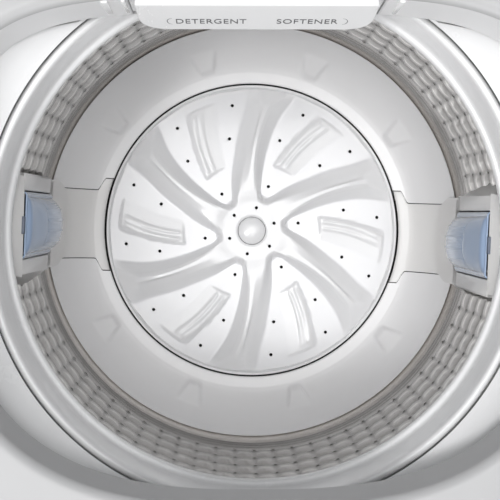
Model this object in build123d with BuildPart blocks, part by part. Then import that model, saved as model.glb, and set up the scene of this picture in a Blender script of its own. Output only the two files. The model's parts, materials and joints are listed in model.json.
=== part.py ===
from build123d import *
import os
from math import asin, atan2, cos, degrees, radians, sin

os.makedirs("parts", exist_ok=True)

# Driving dimensions, millimetres. The origin is on the floor under the middle of the cabinet,
# the front faces -Y and +Z is up.
cabinetWidth = 580
cabinetFront = -300
cabinetBack = 285
rearLimit = 300
sheetSteel = 1.2
baseBottom = 20
baseTop = 70
shellBottom = 45
shellTop = 850
coverTop = 880
coverWall = 2.5

# The tub, basket, pulsator and drive share one vertical axis.
tubY = -20
tubInner = 253
tubWall = 2.5
tubFloor = 340
tubTop = 750
basketInner = 232
basketSheet = 0.8
basketFoot = 452
ringBottom = 720
ringTop = 777
ringOuter = 240
bowlFloor = 375
bowlRim = 469
recessInner = 174
pulsatorRadius = 172.5
pulsatorRim = 394

# Drive line.
washShaftRadius = 10
spinShaftRadius = 15
runningGap = 0.05
pulleyZ = 100
pulleyHeight = 22
drivePulleyRadius = 75
motorPulleyRadius = 25
motorX = -150
plateZ = 325
plateSheet = 3

# Suspension.
rodOffset = 232
rodRadius = 4
rodBottom = 340
springFoot = 346
lugBottom = 400
lugThick = 12

# Lid, console and dispenser.
hingeY = 186
hingeZ = 896
lidOpenAngle = 100
lidLength = 425
lidHalfWidth = 262
pinRadius = 4
consoleFront = 202
drawerHalfWidth = 96

tubAxis = Axis((0, tubY, 0), (0, 0, 1))
tubSection = Plane(origin=(0, tubY, 0), x_dir=(1, 0, 0), z_dir=(0, -1, 0))
halfWidth = cabinetWidth / 2
cabinetMiddle = (cabinetFront + cabinetBack) / 2
cabinetDepth = cabinetBack - cabinetFront
coverMiddle = (cabinetFront + rearLimit) / 2
coverDepth = rearLimit - cabinetFront


def turnedSection(points, plane=tubSection):
    # A closed radius and height outline, ready to revolve round the tub's axis.
    with BuildSketch(plane) as section:
        with BuildLine():
            Polyline(*points, close=True)
        make_face()
    return section.sketch


def level(z, x=0, y=0):
    # A horizontal sketch plane with its origin at x, y.
    return Plane(origin=(x, y, z))


def save(piece, name):
    piece.part.label = name
    export_step(piece.part, f"parts/{name}.step")


# ---- Cabinet ----

# A folded steel wrap: left, front and right walls with rounded front corners, open at the back,
# with a flange turned inwards at the top and at the two rear edges.
with BuildPart() as cabinetShell:
    with BuildSketch(level(shellBottom, 0, cabinetMiddle)):
        RectangleRounded(cabinetWidth, cabinetDepth, 18)
    extrude(amount=shellTop - shellBottom)
    with BuildSketch(level(shellBottom, 0, cabinetMiddle)):
        RectangleRounded(cabinetWidth - 2 * sheetSteel, cabinetDepth - 2 * sheetSteel, 17)
    extrude(amount=shellTop - shellBottom - sheetSteel, mode=Mode.SUBTRACT)
    with BuildSketch(level(shellBottom, 0, cabinetMiddle)):
        Rectangle(cabinetWidth - 40, cabinetDepth - 36)
    extrude(amount=shellTop, mode=Mode.SUBTRACT)
    with BuildSketch(level(shellBottom, 0, cabinetBack)):
        Rectangle(cabinetWidth - 60, 60)
    extrude(amount=shellTop, mode=Mode.SUBTRACT)
save(cabinetShell, "cabinet_shell")

inletX = 150
inletZ = 790
inletRadius = 13
drainX = 190
drainZ = 110
drainRadius = 16
glandX = -200
glandZ = 140
glandRadius = 9
beadHeight = 3

# The screwed-on back, with holes for the water inlet, the drain outlet and the mains cord.
with BuildPart() as rearPanel:
    with BuildSketch(Plane(origin=(0, cabinetBack, 0), x_dir=(1, 0, 0), z_dir=(0, -1, 0))):
        with Locations((0, (baseTop + shellTop) / 2)):
            Rectangle(cabinetWidth - 24, shellTop - baseTop - 6)
        with Locations((inletX, inletZ)):
            Circle(20, mode=Mode.SUBTRACT)
        with Locations((drainX, drainZ)):
            Circle(22, mode=Mode.SUBTRACT)
        with Locations((glandX, glandZ)):
            Circle(glandRadius, mode=Mode.SUBTRACT)
    extrude(amount=-sheetSteel)
    # Pressed stiffening bead.
    beadTop = cabinetBack + sheetSteel + beadHeight
    with BuildSketch(Plane(origin=(0, beadTop, 0), x_dir=(1, 0, 0), z_dir=(0, -1, 0))):
        with Locations((0, 440)):
            RectangleRounded(380, 480, 30)
            RectangleRounded(340, 440, 20, mode=Mode.SUBTRACT)
    extrude(amount=beadHeight)
save(rearPanel, "rear_panel")

# A moulded base ring with a bored boss at each corner for the feet.
footX = 245
footY = 248
footBoltRadius = 5
with BuildPart() as baseFrame:
    with BuildSketch(level(baseBottom, 0, cabinetMiddle)):
        RectangleRounded(cabinetWidth - 2 * sheetSteel - 1, cabinetDepth - 2 * sheetSteel - 1, 16)
        RectangleRounded(cabinetWidth - 60, cabinetDepth - 60, 20, mode=Mode.SUBTRACT)
    extrude(amount=baseTop - baseBottom)
    with BuildSketch(level(baseBottom, 0, cabinetMiddle)):
        with GridLocations(2 * footX, 2 * footY, 2, 2):
            Circle(30)
    extrude(amount=baseTop - baseBottom)
    with BuildSketch(level(baseBottom, 0, cabinetMiddle)):
        with GridLocations(2 * footX, 2 * footY, 2, 2):
            Circle(footBoltRadius)
    extrude(amount=baseTop - baseBottom, mode=Mode.SUBTRACT)
save(baseFrame, "base_frame")

padThick = 14
with BuildPart() as footPads:
    with BuildSketch(level(0, 0, cabinetMiddle)):
        with GridLocations(2 * footX, 2 * footY, 2, 2):
            Circle(24)
    extrude(amount=padThick, taper=8)
save(footPads, "foot_pads")

# Each foot's steel stud, with the lock nut under the base.
with BuildPart() as footBolts:
    with BuildSketch(level(padThick, 0, cabinetMiddle)):
        with GridLocations(2 * footX, 2 * footY, 2, 2):
            RegularPolygon(11, 6)
    extrude(amount=baseBottom - padThick)
    with BuildSketch(level(baseBottom, 0, cabinetMiddle)):
        with GridLocations(2 * footX, 2 * footY, 2, 2):
            Circle(footBoltRadius)
    extrude(amount=baseTop - baseBottom - 8)
save(footBolts, "foot_bolts")

# ---- Suspension ----

bracketBottom = 832
bracketTop = 846
rodSpots = [(sx * rodOffset, tubY + sy * rodOffset) for sx in (-1, 1) for sy in (-1, 1)]

# Pressed hangers across the cabinet's corners, one round each rod's head.
with BuildPart() as cornerBrackets:
    innerWall = halfWidth - sheetSteel
    bracketInner = rodOffset - 22
    with BuildSketch(level(bracketTop)):
        for x, y in rodSpots:
            side = 1 if x > 0 else -1
            with Locations((side * (innerWall + bracketInner) / 2, y)):
                Rectangle(innerWall - bracketInner, 56)
            with Locations((x, y)):
                Circle(rodRadius + 0.3, mode=Mode.SUBTRACT)
    extrude(amount=-3)
    with BuildSketch(level(bracketTop)):
        for x, y in rodSpots:
            side = 1 if x > 0 else -1
            with Locations((side * (innerWall - 1.5), y)):
                Rectangle(3, 56)
    extrude(amount=-48)
save(cornerBrackets, "corner_brackets")

# Four rods, each with a domed head on its bracket and a cup at the foot that carries the spring.
with BuildPart() as suspensionRods:
    with BuildSketch(level(rodBottom)):
        with Locations(*rodSpots):
            Circle(rodRadius)
    extrude(amount=bracketTop - rodBottom + 4)
    with BuildSketch(level(bracketTop)):
        with Locations(*rodSpots):
            Circle(11)
    extrude(amount=8, taper=35)
    with BuildSketch(level(rodBottom)):
        with Locations(*rodSpots):
            Circle(20)
    extrude(amount=springFoot - rodBottom)
save(suspensionRods, "suspension_rods")

springRadius = 13
springWire = 2
springTurns = 5
springHeight = lugBottom - 4 - springFoot - 2 * springWire - 1
with BuildPart() as suspensionSprings:
    for x, y in rodSpots:
        foot = Vector(x, y, springFoot + springWire + 0.5)
        with BuildLine():
            Helix(springHeight / springTurns, springHeight, springRadius, center=foot)
        with BuildSketch(Plane(origin=foot + Vector(springRadius, 0, 0), z_dir=(0, 1, 0))):
            Circle(springWire)
        sweep()
save(suspensionSprings, "suspension_springs")

# Plastic cups pressed up under the tub's lugs, holding the springs' upper ends.
with BuildPart() as springCups:
    with BuildSketch(level(lugBottom)):
        with Locations(*rodSpots):
            Circle(19)
            Circle(rodRadius + 2, mode=Mode.SUBTRACT)
    extrude(amount=-4)
save(springCups, "spring_cups")

# ---- Outer tub ----

with BuildPart() as outerTub:
    with BuildSketch(level(tubFloor, 0, tubY)):
        Circle(tubInner + tubWall)
    extrude(amount=tubTop - tubFloor)
    with BuildSketch(level(tubFloor + 3, 0, tubY)):
        Circle(tubInner)
    extrude(amount=tubTop - tubFloor, mode=Mode.SUBTRACT)
    with BuildSketch(level(tubFloor, 0, tubY)):
        Circle(36)
    extrude(amount=3, mode=Mode.SUBTRACT)
    # Lugs that hang the tub on its rods.
    with BuildSketch(level(lugBottom)):
        for x, y in rodSpots:
            with Locations(Location((x * 0.89, tubY + (y - tubY) * 0.89), degrees(atan2(y - tubY, x)))):
                Rectangle(108, 44)
        with Locations(*rodSpots):
            Circle(rodRadius + 5, mode=Mode.SUBTRACT)
        with Locations((0, tubY)):
            Circle(tubInner + tubWall / 2, mode=Mode.SUBTRACT)
    extrude(amount=lugThick)
    # Bosses for the chassis plate and the drain outlet.
    with BuildSketch(level(plateZ + plateSheet, 0, tubY)):
        with GridLocations(300, 200, 2, 2):
            Circle(12)
            Circle(4, mode=Mode.SUBTRACT)
    extrude(amount=tubFloor - plateZ - plateSheet)
    with BuildSketch(level(tubFloor, 70, tubY + 160)):
        Circle(15)
    extrude(amount=3, mode=Mode.SUBTRACT)
save(outerTub, "outer_tub")

# The splash ring snapped on the tub's rim, reaching in to just outside the balance ring.
coverLip = ringOuter + 1.5
with BuildPart() as tubCover:
    revolve(turnedSection([
        (tubInner, tubTop), (tubInner + 6, tubTop), (tubInner + 6, tubTop + 12), (252, 775),
        (coverLip, 775), (coverLip, 757), (coverLip + 2.5, 757), (coverLip + 2.5, 772),
        (250.5, 772), (tubInner, 763)]), axis=tubAxis)
save(tubCover, "tub_cover")

# ---- Drive, under the tub ----

plateHoles = 62
with BuildPart() as chassisPlate:
    with BuildSketch(level(plateZ, 0, tubY)):
        with Locations((-30, 0)):
            RectangleRounded(400, 240, 25)
        Circle(plateHoles, mode=Mode.SUBTRACT)
        with GridLocations(300, 200, 2, 2):
            Circle(4, mode=Mode.SUBTRACT)
        with Locations((motorX, 0)):
            Circle(30, mode=Mode.SUBTRACT)
    extrude(amount=plateSheet)
save(chassisPlate, "chassis_plate")

with BuildPart() as chassisBolts:
    with BuildSketch(level(plateZ, 0, tubY)):
        with GridLocations(300, 200, 2, 2):
            RegularPolygon(8, 6)
    extrude(amount=-6)
    with BuildSketch(level(plateZ, 0, tubY)):
        with GridLocations(300, 200, 2, 2):
            Circle(4)
    extrude(amount=14)
save(chassisBolts, "chassis_bolts")

# The gear and clutch case: a flanged can bored for the two bearings.
bearingOuter = 31
bearingHeight = 14
upperBearingZ = 318
lowerBearingZ = 156
caseBottom = 150
with BuildPart() as clutchHousing:
    revolve(turnedSection([
        (spinShaftRadius + 2, caseBottom), (44, caseBottom), (60, 176), (60, 318), (100, 318),
        (100, plateZ), (58, plateZ), (58, 334), (bearingOuter, 334), (bearingOuter, upperBearingZ),
        (spinShaftRadius + 3, upperBearingZ), (spinShaftRadius + 3, 312), (50, 306), (50, 182),
        (36, 176), (36, lowerBearingZ + bearingHeight), (bearingOuter, lowerBearingZ + bearingHeight),
        (bearingOuter, lowerBearingZ), (spinShaftRadius + 2, lowerBearingZ)]), axis=tubAxis)
save(clutchHousing, "clutch_housing")


def bearing(z, name):
    # A ball bearing: two races joined by a ring of balls.
    raceInner = spinShaftRadius + runningGap
    with BuildPart() as piece:
        revolve(turnedSection([
            (raceInner, z), (21, z), (21, z + 4), (25, z + 4), (25, z), (bearingOuter, z),
            (bearingOuter, z + bearingHeight), (25, z + bearingHeight), (25, z + 10), (21, z + 10),
            (21, z + bearingHeight), (raceInner, z + bearingHeight)]), axis=tubAxis)
    save(piece, name)


bearing(upperBearingZ, "upper_bearing")
bearing(lowerBearingZ, "lower_bearing")

# The rubber lip seal in the tub's floor round the spin shaft.
with BuildPart() as tubSeal:
    revolve(turnedSection([
        (spinShaftRadius + 0.1, 346), (spinShaftRadius + 3, 340), (36, 340), (36, 343), (39, 343),
        (39, 346), (24, 346), (spinShaftRadius + 2, 352), (spinShaftRadius + 0.1, 352)]), axis=tubAxis)
save(tubSeal, "tub_seal")

# The motor's can hangs under the plate on two feet, with a bore for its shaft.
motorBottom = 180
motorTop = 300
motorRadius = 62
motorShaftRadius = 6
with BuildPart() as motorCase:
    with BuildSketch(level(motorBottom, motorX, tubY)):
        Circle(motorRadius)
    extrude(amount=motorTop - motorBottom)
    fillet(motorCase.edges().filter_by(GeomType.CIRCLE), 8)
    with BuildSketch(level(motorBottom, motorX, tubY)):
        with GridLocations(0, 2 * motorRadius - 16, 1, 2):
            Rectangle(30, 22)
    extrude(amount=plateZ - motorBottom)
    with BuildSketch(level(motorBottom, motorX, tubY)):
        Circle(motorShaftRadius + runningGap)
    extrude(amount=motorTop - motorBottom, mode=Mode.SUBTRACT)
save(motorCase, "motor")

with BuildPart() as motorShaft:
    with BuildSketch(level(pulleyZ - 4, motorX, tubY)):
        Circle(motorShaftRadius)
    extrude(amount=motorTop - pulleyZ + 12)
save(motorShaft, "motor_shaft")


def pulley(x, radius, bore, name):
    # A flanged belt pulley with a bored hub and a dished web.
    axis = Axis((x, tubY, 0), (0, 0, 1))
    plane = Plane(origin=(x, tubY, 0), x_dir=(1, 0, 0), z_dir=(0, -1, 0))
    top = pulleyZ + pulleyHeight
    with BuildPart() as piece:
        revolve(turnedSection([
            (bore, pulleyZ), (radius + 5, pulleyZ), (radius + 5, pulleyZ + 3), (radius, pulleyZ + 5),
            (radius, top - 5), (radius + 5, top - 3), (radius + 5, top), (radius - 6, top),
            (bore + 6, top - 4), (bore, top - 4)], plane), axis=axis)
    save(piece, name)


pulley(0, drivePulleyRadius, washShaftRadius, "drive_pulley")
pulley(motorX, motorPulleyRadius, motorShaftRadius, "motor_pulley")

# A flat ribbed belt round both pulleys: the outline of two circles and their outer tangents.
beltGap = 0.3
beltThick = 3


def beltOutline(extra):
    big = drivePulleyRadius + extra
    small = motorPulleyRadius + extra
    lean = asin((drivePulleyRadius - motorPulleyRadius) / -motorX)
    points = [(big * -sin(lean), big * cos(lean)), (motorX + small * -sin(lean), small * cos(lean)),
              (motorX + small * -sin(lean), -small * cos(lean)), (big * -sin(lean), -big * cos(lean))]
    with BuildSketch(level(pulleyZ + 6, 0, tubY)) as outline:
        Circle(big)
        with Locations((motorX, 0)):
            Circle(small)
        with BuildLine():
            Polyline(*points, close=True)
        make_face()
    return outline.sketch


with BuildPart() as driveBelt:
    extrude(beltOutline(beltGap + beltThick), amount=pulleyHeight - 12)
    extrude(beltOutline(beltGap), amount=pulleyHeight - 12, mode=Mode.SUBTRACT)
save(driveBelt, "drive_belt")

# The drain valve under the tub's floor, with its side spigot.
drainValveX = 70
drainValveY = tubY + 160
with BuildPart() as drainValve:
    with BuildSketch(level(tubFloor, drainValveX, drainValveY)):
        Circle(27)
    extrude(amount=-48)
    with BuildSketch(level(tubFloor, drainValveX, drainValveY)):
        Circle(15)
    extrude(amount=-30, mode=Mode.SUBTRACT)
    with BuildSketch(Plane(origin=(drainValveX, drainValveY, tubFloor - 26), x_dir=(0, 1, 0), z_dir=(1, 0, 0))):
        Circle(14)
    extrude(amount=52)
    with BuildSketch(Plane(origin=(drainValveX, drainValveY, tubFloor - 26), x_dir=(0, 1, 0), z_dir=(1, 0, 0))):
        Circle(11)
    extrude(amount=52, mode=Mode.SUBTRACT)
save(drainValve, "drain_valve")

# ---- Spin basket ----

with BuildPart() as spinShaft:
    with BuildSketch(level(caseBottom - 14, 0, tubY)):
        Circle(spinShaftRadius)
        Circle(washShaftRadius + runningGap, mode=Mode.SUBTRACT)
    extrude(amount=bowlFloor - caseBottom + 14)
save(spinShaft, "spin_shaft")

# A cast three-armed hub that carries the basket on the spin shaft.
flangeTop = bowlFloor
with BuildPart() as basketFlange:
    with BuildSketch(level(flangeTop - 12, 0, tubY)):
        Circle(48)
        for turn in (90, 210, 330):
            with Locations(Location((62 * cos(radians(turn)), 62 * sin(radians(turn))), turn)):
                Rectangle(130, 40)
        Circle(spinShaftRadius, mode=Mode.SUBTRACT)
    extrude(amount=12)
    with BuildSketch(level(flangeTop - 12, 0, tubY)):
        with PolarLocations(110, 3, start_angle=90):
            Circle(4, mode=Mode.ADD)
    extrude(amount=12, mode=Mode.SUBTRACT)
save(basketFlange, "basket_flange")

bowlSheet = 3
with BuildPart() as flangeBolts:
    with BuildSketch(level(bowlFloor + bowlSheet, 0, tubY)):
        with PolarLocations(110, 3, start_angle=90):
            Circle(8)
    extrude(amount=4)
    with BuildSketch(level(flangeTop - 12, 0, tubY)):
        with PolarLocations(110, 3, start_angle=90):
            Circle(4)
    extrude(amount=12 + bowlSheet)
save(flangeBolts, "flange_bolts")

with BuildPart() as basketWall:
    with BuildSketch(level(basketFoot, 0, tubY)):
        Circle(basketInner + basketSheet)
        Circle(basketInner, mode=Mode.SUBTRACT)
    extrude(amount=ringBottom - basketFoot)
save(basketWall, "basket_wall")

# The bowl: a floor under the pulsator, a recess wall, a low lip and a concave slope up to the steel.
bowlOuter = basketInner - 0.2
with BuildPart() as basketBase:
    with BuildSketch(tubSection):
        with BuildLine():
            Polyline((19, bowlFloor), (recessInner + 4, bowlFloor), (193, 389))
            ThreePointArc((193, 389), (216, 410), (bowlOuter, basketFoot))
            Polyline((bowlOuter, basketFoot), (bowlOuter, bowlRim), (bowlOuter - 1.5, bowlRim))
            ThreePointArc((bowlOuter - 1.5, bowlRim), (218.5, 424), (192, 398.5))
            Polyline((192, 398.5), (recessInner + 2, 394), (recessInner, 391),
                     (recessInner, bowlFloor + bowlSheet), (19, bowlFloor + bowlSheet), (19, bowlFloor))
        make_face()
    revolve(axis=tubAxis)
    with BuildSketch(level(bowlFloor, 0, tubY)):
        with PolarLocations(110, 3, start_angle=90):
            Circle(4)
        with PolarLocations(150, 24):
            Circle(4)
    extrude(amount=bowlSheet, mode=Mode.SUBTRACT)
save(basketBase, "basket_base")

# The liquid-filled balance ring: an inner bead, an upright wall, a rounded crest.
with BuildPart() as balanceRing:
    with BuildSketch(tubSection):
        with BuildLine():
            Polyline((224.5, ringBottom), (ringOuter, ringBottom), (ringOuter, ringTop - 6))
            ThreePointArc((ringOuter, ringTop - 6), (236.2, ringTop), (230.7, ringTop - 5))
            Polyline((230.7, ringTop - 5), (230.2, 737), (227, 731))
            ThreePointArc((227, 731), (223, 727), (224.5, ringBottom))
        make_face()
    revolve(axis=tubAxis)
save(balanceRing, "balance_ring")

# The two water ducts up the basket's wall, each a foot on the bowl and a column on the steel.
ductTurn = 2.5
columnFace = 217
columnWidth = 94
footWidth = 80
columnBottom = bowlRim + 0.5


# Everything outside the bowl's inner face and the steel, cut from the duct covers to seat them.
with BuildPart() as bowlFill:
    with BuildSketch(tubSection):
        with BuildLine():
            ThreePointArc((bowlOuter - 1.5, bowlRim), (218.3, 424.2), (192, 398.8))
            Polyline((192, 398.8), (recessInner, 394.4), (recessInner, 360), (260, 360), (260, 760),
                     (bowlOuter - 0.1, 760), (bowlOuter - 0.1, bowlRim + 0.2),
                     (bowlOuter - 1.5, bowlRim))
        make_face()
    revolve(axis=tubAxis)


def ductPlane(side, z=0):
    # A level plane whose X runs out from the tub's axis through a duct's middle.
    turn = radians(-ductTurn if side > 0 else 180 - ductTurn)
    return Plane(origin=(0, tubY, z), x_dir=(cos(turn), sin(turn), 0), z_dir=(0, 0, 1))


def ductSection(side):
    turn = radians(-ductTurn if side > 0 else 180 - ductTurn)
    return Plane(origin=(0, tubY, 0), x_dir=(cos(turn), sin(turn), 0), z_dir=(sin(turn), -cos(turn), 0))


for side, sideName in ((-1, "left"), (1, "right")):
    with BuildPart() as ductCover:
        with BuildSketch(ductPlane(side, columnBottom)):
            with Locations((columnFace + 10, 0)):
                Rectangle(20, columnWidth)
            Circle(basketInner - 0.3, mode=Mode.INTERSECT)
        extrude(amount=ringBottom - columnBottom)
        # The hollow water way behind the column's face, open at the top through the filter's window.
        with BuildSketch(ductPlane(side, columnBottom)):
            with Locations((columnFace + 2.5 + 10, 0)):
                Rectangle(20, columnWidth - 8)
            Circle(basketInner - 3.5, mode=Mode.INTERSECT)
        extrude(amount=ringBottom - columnBottom - 4, mode=Mode.SUBTRACT)
        # The window that the lint filter fills.
        with BuildSketch(ductSection(side)):
            with BuildLine():
                Polyline((columnFace - 5, 560), (columnFace + 5, 560), (columnFace + 5, 690),
                         (columnFace - 5, 690), close=True)
            make_face()
        extrude(amount=25, both=True, mode=Mode.SUBTRACT)
        # The foot, riding a little above the bowl's slope.
        with BuildSketch(ductSection(side)):
            with BuildLine():
                Polyline((176, 394.6), (176, 400), (194, 405))
                ThreePointArc((194, 405), (211, 422), (columnFace, columnBottom + 6))
                Polyline((columnFace, columnBottom + 6), (bowlOuter - 2, columnBottom + 6),
                         (bowlOuter - 2, columnBottom))
                ThreePointArc((bowlOuter - 2, columnBottom), (217.8, 424.6), (192, 399.2))
                Line((192, 399.2), (176, 394.6))
            make_face()
        extrude(amount=footWidth / 2, both=True)
        add(bowlFill.part, mode=Mode.SUBTRACT)
    save(ductCover, f"duct_cover_{sideName}")

# The lint filters: a barrel-bellied frame with a mesh pocket, tilting out on its lower edge.
filterHalf = 31
filterBottom = 548
filterTop = 702
filterBack = columnFace - 0.6
bellyFace = 199
bellyZ = 600
pocketHalf = 24
for side, sideName in ((-1, "left"), (1, "right")):
    with BuildPart() as filterFrame:
        with BuildSketch(ductSection(side)):
            with BuildLine():
                Polyline((filterBack, filterBottom), (filterBack, filterTop), (filterBack - 5, filterTop))
                Line((filterBack - 5, filterTop), (filterBack - 5, 672))
                ThreePointArc((filterBack - 5, 672), (bellyFace, bellyZ), (filterBack - 4, filterBottom))
                Line((filterBack - 4, filterBottom), (filterBack, filterBottom))
            make_face()
        extrude(amount=filterHalf, both=True)
        # The lint pocket, open at the back and through the front's slots.
        with BuildSketch(ductSection(side)):
            with BuildLine():
                Polyline((filterBack + 1, filterBottom + 12), (filterBack + 1, filterTop - 8),
                         (filterBack - 2.5, filterTop - 8), (filterBack - 2.5, 672))
                ThreePointArc((filterBack - 2.5, 672), (bellyFace + 2.5, bellyZ),
                              (filterBack - 2.5, filterBottom + 12))
                Line((filterBack - 2.5, filterBottom + 12), (filterBack + 1, filterBottom + 12))
            make_face()
        extrude(amount=filterHalf - 3, both=True, mode=Mode.SUBTRACT)
        with BuildSketch(ductSection(side)):
            with BuildLine():
                Polyline((bellyFace - 2, 575), (filterBack - 2, 575), (filterBack - 2, 660),
                         (bellyFace - 2, 660), close=True)
            make_face()
        extrude(amount=pocketHalf, both=True, mode=Mode.SUBTRACT)
    save(filterFrame, f"filter_frame_{sideName}")

    # The mesh panel that fills the frame's front window, following the belly.
    with BuildPart() as filterMesh:
        with BuildSketch(ductSection(side)):
            with BuildLine():
                ThreePointArc((filterBack - 5, 672), (bellyFace, bellyZ), (filterBack - 4, filterBottom))
                Line((filterBack - 4, filterBottom), (filterBack - 2.5, filterBottom + 12))
                ThreePointArc((filterBack - 2.5, filterBottom + 12), (bellyFace + 2.5, bellyZ),
                              (filterBack - 2.5, 672))
                Line((filterBack - 2.5, 672), (filterBack - 5, 672))
            make_face()
        extrude(amount=pocketHalf, both=True)
        with BuildSketch(ductSection(side)):
            with BuildLine():
                Polyline((bellyFace - 9, 575), (filterBack - 2, 575), (filterBack - 2, 660),
                         (bellyFace - 9, 660), close=True)
            make_face()
        extrude(amount=pocketHalf, both=True, mode=Mode.INTERSECT)
    save(filterMesh, f"filter_mesh_{sideName}")

# ---- Pulsator ----

hubTop = 412
capRadius = 16
capSeat = capRadius + 0.3
with BuildPart() as pulsatorDisc:
    with BuildSketch(tubSection):
        with BuildLine():
            Polyline((washShaftRadius, 384), (washShaftRadius, hubTop - 12), (capSeat, hubTop - 12),
                     (capSeat, hubTop - 3), (24, hubTop - 4))
            ThreePointArc((24, hubTop - 4), (38, 402), (60, 397))
            Polyline((60, 397), (160, 390), (168, 391), (pulsatorRadius, pulsatorRim),
                     (pulsatorRadius, 385), (170, 385), (168, 387), (160, 386.5), (60, 393),
                     (30, 397), (22, 396), (22, 384), (washShaftRadius, 384))
        make_face()
    revolve(axis=tubAxis)
    # Six swept vanes, each a curved leaf that rises from the hub and falls to the rim.
    for index in range(6):
        turn = radians(-60 * index)
        vanePlane = Plane(origin=(0, tubY, 391), x_dir=(cos(turn), sin(turn), 0), z_dir=(0, 0, 1))
        with BuildSketch(vanePlane):
            with BuildLine():
                ThreePointArc((34, 2), (84, 34), (156, 26))
                Line((156, 26), (160, 44))
                ThreePointArc((160, 44), (72, 62), (26, 12))
                Line((26, 12), (34, 2))
            make_face()
        extrude(amount=18, taper=32)
    with BuildSketch(level(384, 0, tubY)):
        for index in range(6):
            turn = radians(-60 * index)
            for radius, lead in ((56, 69), (112, 72), (112, 44), (150, 66), (150, 39)):
                angle = turn + radians(lead)
                with Locations((radius * cos(angle), radius * sin(angle))):
                    Circle(1.6)
    extrude(amount=30, mode=Mode.SUBTRACT)
save(pulsatorDisc, "pulsator")

with BuildPart() as pulsatorScrew:
    with BuildSketch(level(hubTop - 12, 0, tubY)):
        RegularPolygon(9, 6)
    extrude(amount=5)
save(pulsatorScrew, "pulsator_screw")

with BuildPart() as pulsatorCap:
    revolve(turnedSection([
        (0, hubTop), (10, hubTop - 0.8), (capRadius, hubTop - 3), (capRadius, hubTop - 8),
        (capRadius - 2, hubTop - 8), (capRadius - 2, hubTop - 4), (0, hubTop - 3)]), axis=tubAxis)
save(pulsatorCap, "pulsator_cap")

with BuildPart() as washShaft:
    with BuildSketch(level(pulleyZ - 4, 0, tubY)):
        Circle(washShaftRadius)
    extrude(amount=hubTop - 12 - pulleyZ + 4)
save(washShaft, "wash_shaft")

# ---- Top cover ----

wellBack = 190
wellFront = 211
wellSide = 250
funnelLip = 238
funnelLipZ = 785
funnelOuter = 300
funnelOuterZ = 846
overhangZ = 836


def wellOutline(z, extra):
    # The well's mouth: a superellipse with a rounder front half and a squarer back half.
    def corner(turn, depth, power):
        c = cos(turn)
        s = sin(turn)
        return (round((wellSide + extra) * abs(c) ** (2 / power) * (1 if c > 0 else -1), 3),
                round((depth + extra) * abs(s) ** (2 / power) * (1 if s > 0 else -1), 3))
    steps = 16
    backHalf = [corner(radians(180) * i / steps, wellBack, 4) for i in range(steps + 1)]
    frontHalf = [corner(radians(180) + radians(180) * i / steps, wellFront, 2.7) for i in range(steps + 1)]
    with BuildSketch(level(z, 0, tubY)) as outline:
        with BuildLine():
            Spline(*backHalf, tangents=((0, 1), (0, -1)))
            Spline(*frontHalf, tangents=((0, -1), (0, 1)))
        make_face()
    return outline.sketch


hingeEar = 272
earWidth = 12
with BuildPart() as funnelRegion:
    extrude(wellOutline(770, coverWall), amount=120)
    with BuildSketch(level(770, 0, tubY)):
        Circle(268)
    extrude(amount=90)

# The upright wall from the funnel shelf to the rim.
with BuildPart() as wellWall:
    extrude(wellOutline(782, coverWall), amount=coverTop - 782)
    extrude(wellOutline(782, 0), amount=coverTop - 782, mode=Mode.SUBTRACT)
    revolve(turnedSection([
        (0, 770), (funnelLip + 10, 770), (funnelLip + 10, 795), (262, 805),
        (funnelOuter, funnelOuterZ - 1), (funnelOuter + 60, funnelOuterZ), (funnelOuter + 60, 760),
        (0, 760)]), axis=tubAxis, mode=Mode.SUBTRACT)
    with BuildSketch(level(770, 0, tubY)):
        Circle(funnelLip + 2)
    extrude(amount=overhangZ - 770, mode=Mode.SUBTRACT)

# The space that the dispenser drawer slides in.
with BuildPart() as drawerPocket:
    with BuildSketch(level(818, 0, 220)):
        Rectangle(2 * drawerHalfWidth + 6, 160)
    extrude(amount=876 - 818)

with BuildPart() as topCover:
    # The dished funnel shelf that leads the wash into the basket.
    with BuildSketch(tubSection):
        with BuildLine():
            ThreePointArc((funnelLip, funnelLipZ), (262, 806), (funnelOuter, funnelOuterZ))
            Line((funnelOuter, funnelOuterZ), (funnelOuter, funnelOuterZ - 3))
            ThreePointArc((funnelOuter, funnelOuterZ - 3), (263, 803.5), (funnelLip + 1, funnelLipZ - 1.5))
            Line((funnelLip + 1, funnelLipZ - 1.5), (funnelLip, funnelLipZ))
        make_face()
    revolve(axis=tubAxis)
    add(funnelRegion.part, mode=Mode.INTERSECT)
    add(wellWall.part)
    # The top face and its outer skirt.
    with BuildSketch(level(coverTop, 0, coverMiddle)):
        RectangleRounded(cabinetWidth, coverDepth, 20)
    extrude(amount=-coverWall)
    with BuildSketch(level(coverTop, 0, coverMiddle)):
        RectangleRounded(cabinetWidth, coverDepth, 20)
        RectangleRounded(cabinetWidth - 2 * coverWall, coverDepth - 2 * coverWall, 18, mode=Mode.SUBTRACT)
    extrude(amount=shellTop - coverTop)
    extrude(wellOutline(coverTop - coverWall - 1, 0), amount=coverWall + 2, mode=Mode.SUBTRACT)
    add(drawerPocket.part, mode=Mode.SUBTRACT)
    # Ears that hold the lid's hinge pins.
    for side in (-1, 1):
        with BuildSketch(Plane(origin=(side * hingeEar, hingeY, 0), x_dir=(0, 1, 0), z_dir=(1, 0, 0))):
            with Locations((0, hingeZ)):
                Circle(11)
            with Locations((0, (coverTop + hingeZ) / 2 - 0.5)):
                Rectangle(22, hingeZ - coverTop + 1)
            with Locations((0, hingeZ)):
                Circle(pinRadius, mode=Mode.SUBTRACT)
        extrude(amount=earWidth / 2, both=True)
save(topCover, "top_cover")

with BuildPart() as hingePins:
    for side in (-1, 1):
        with BuildSketch(Plane(origin=(side * (hingeEar + earWidth / 2), hingeY, hingeZ), z_dir=(-side, 0, 0))):
            Circle(pinRadius)
        extrude(amount=36)
save(hingePins, "lid_hinge_pins")

# ---- Lid, standing open ----

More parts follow.
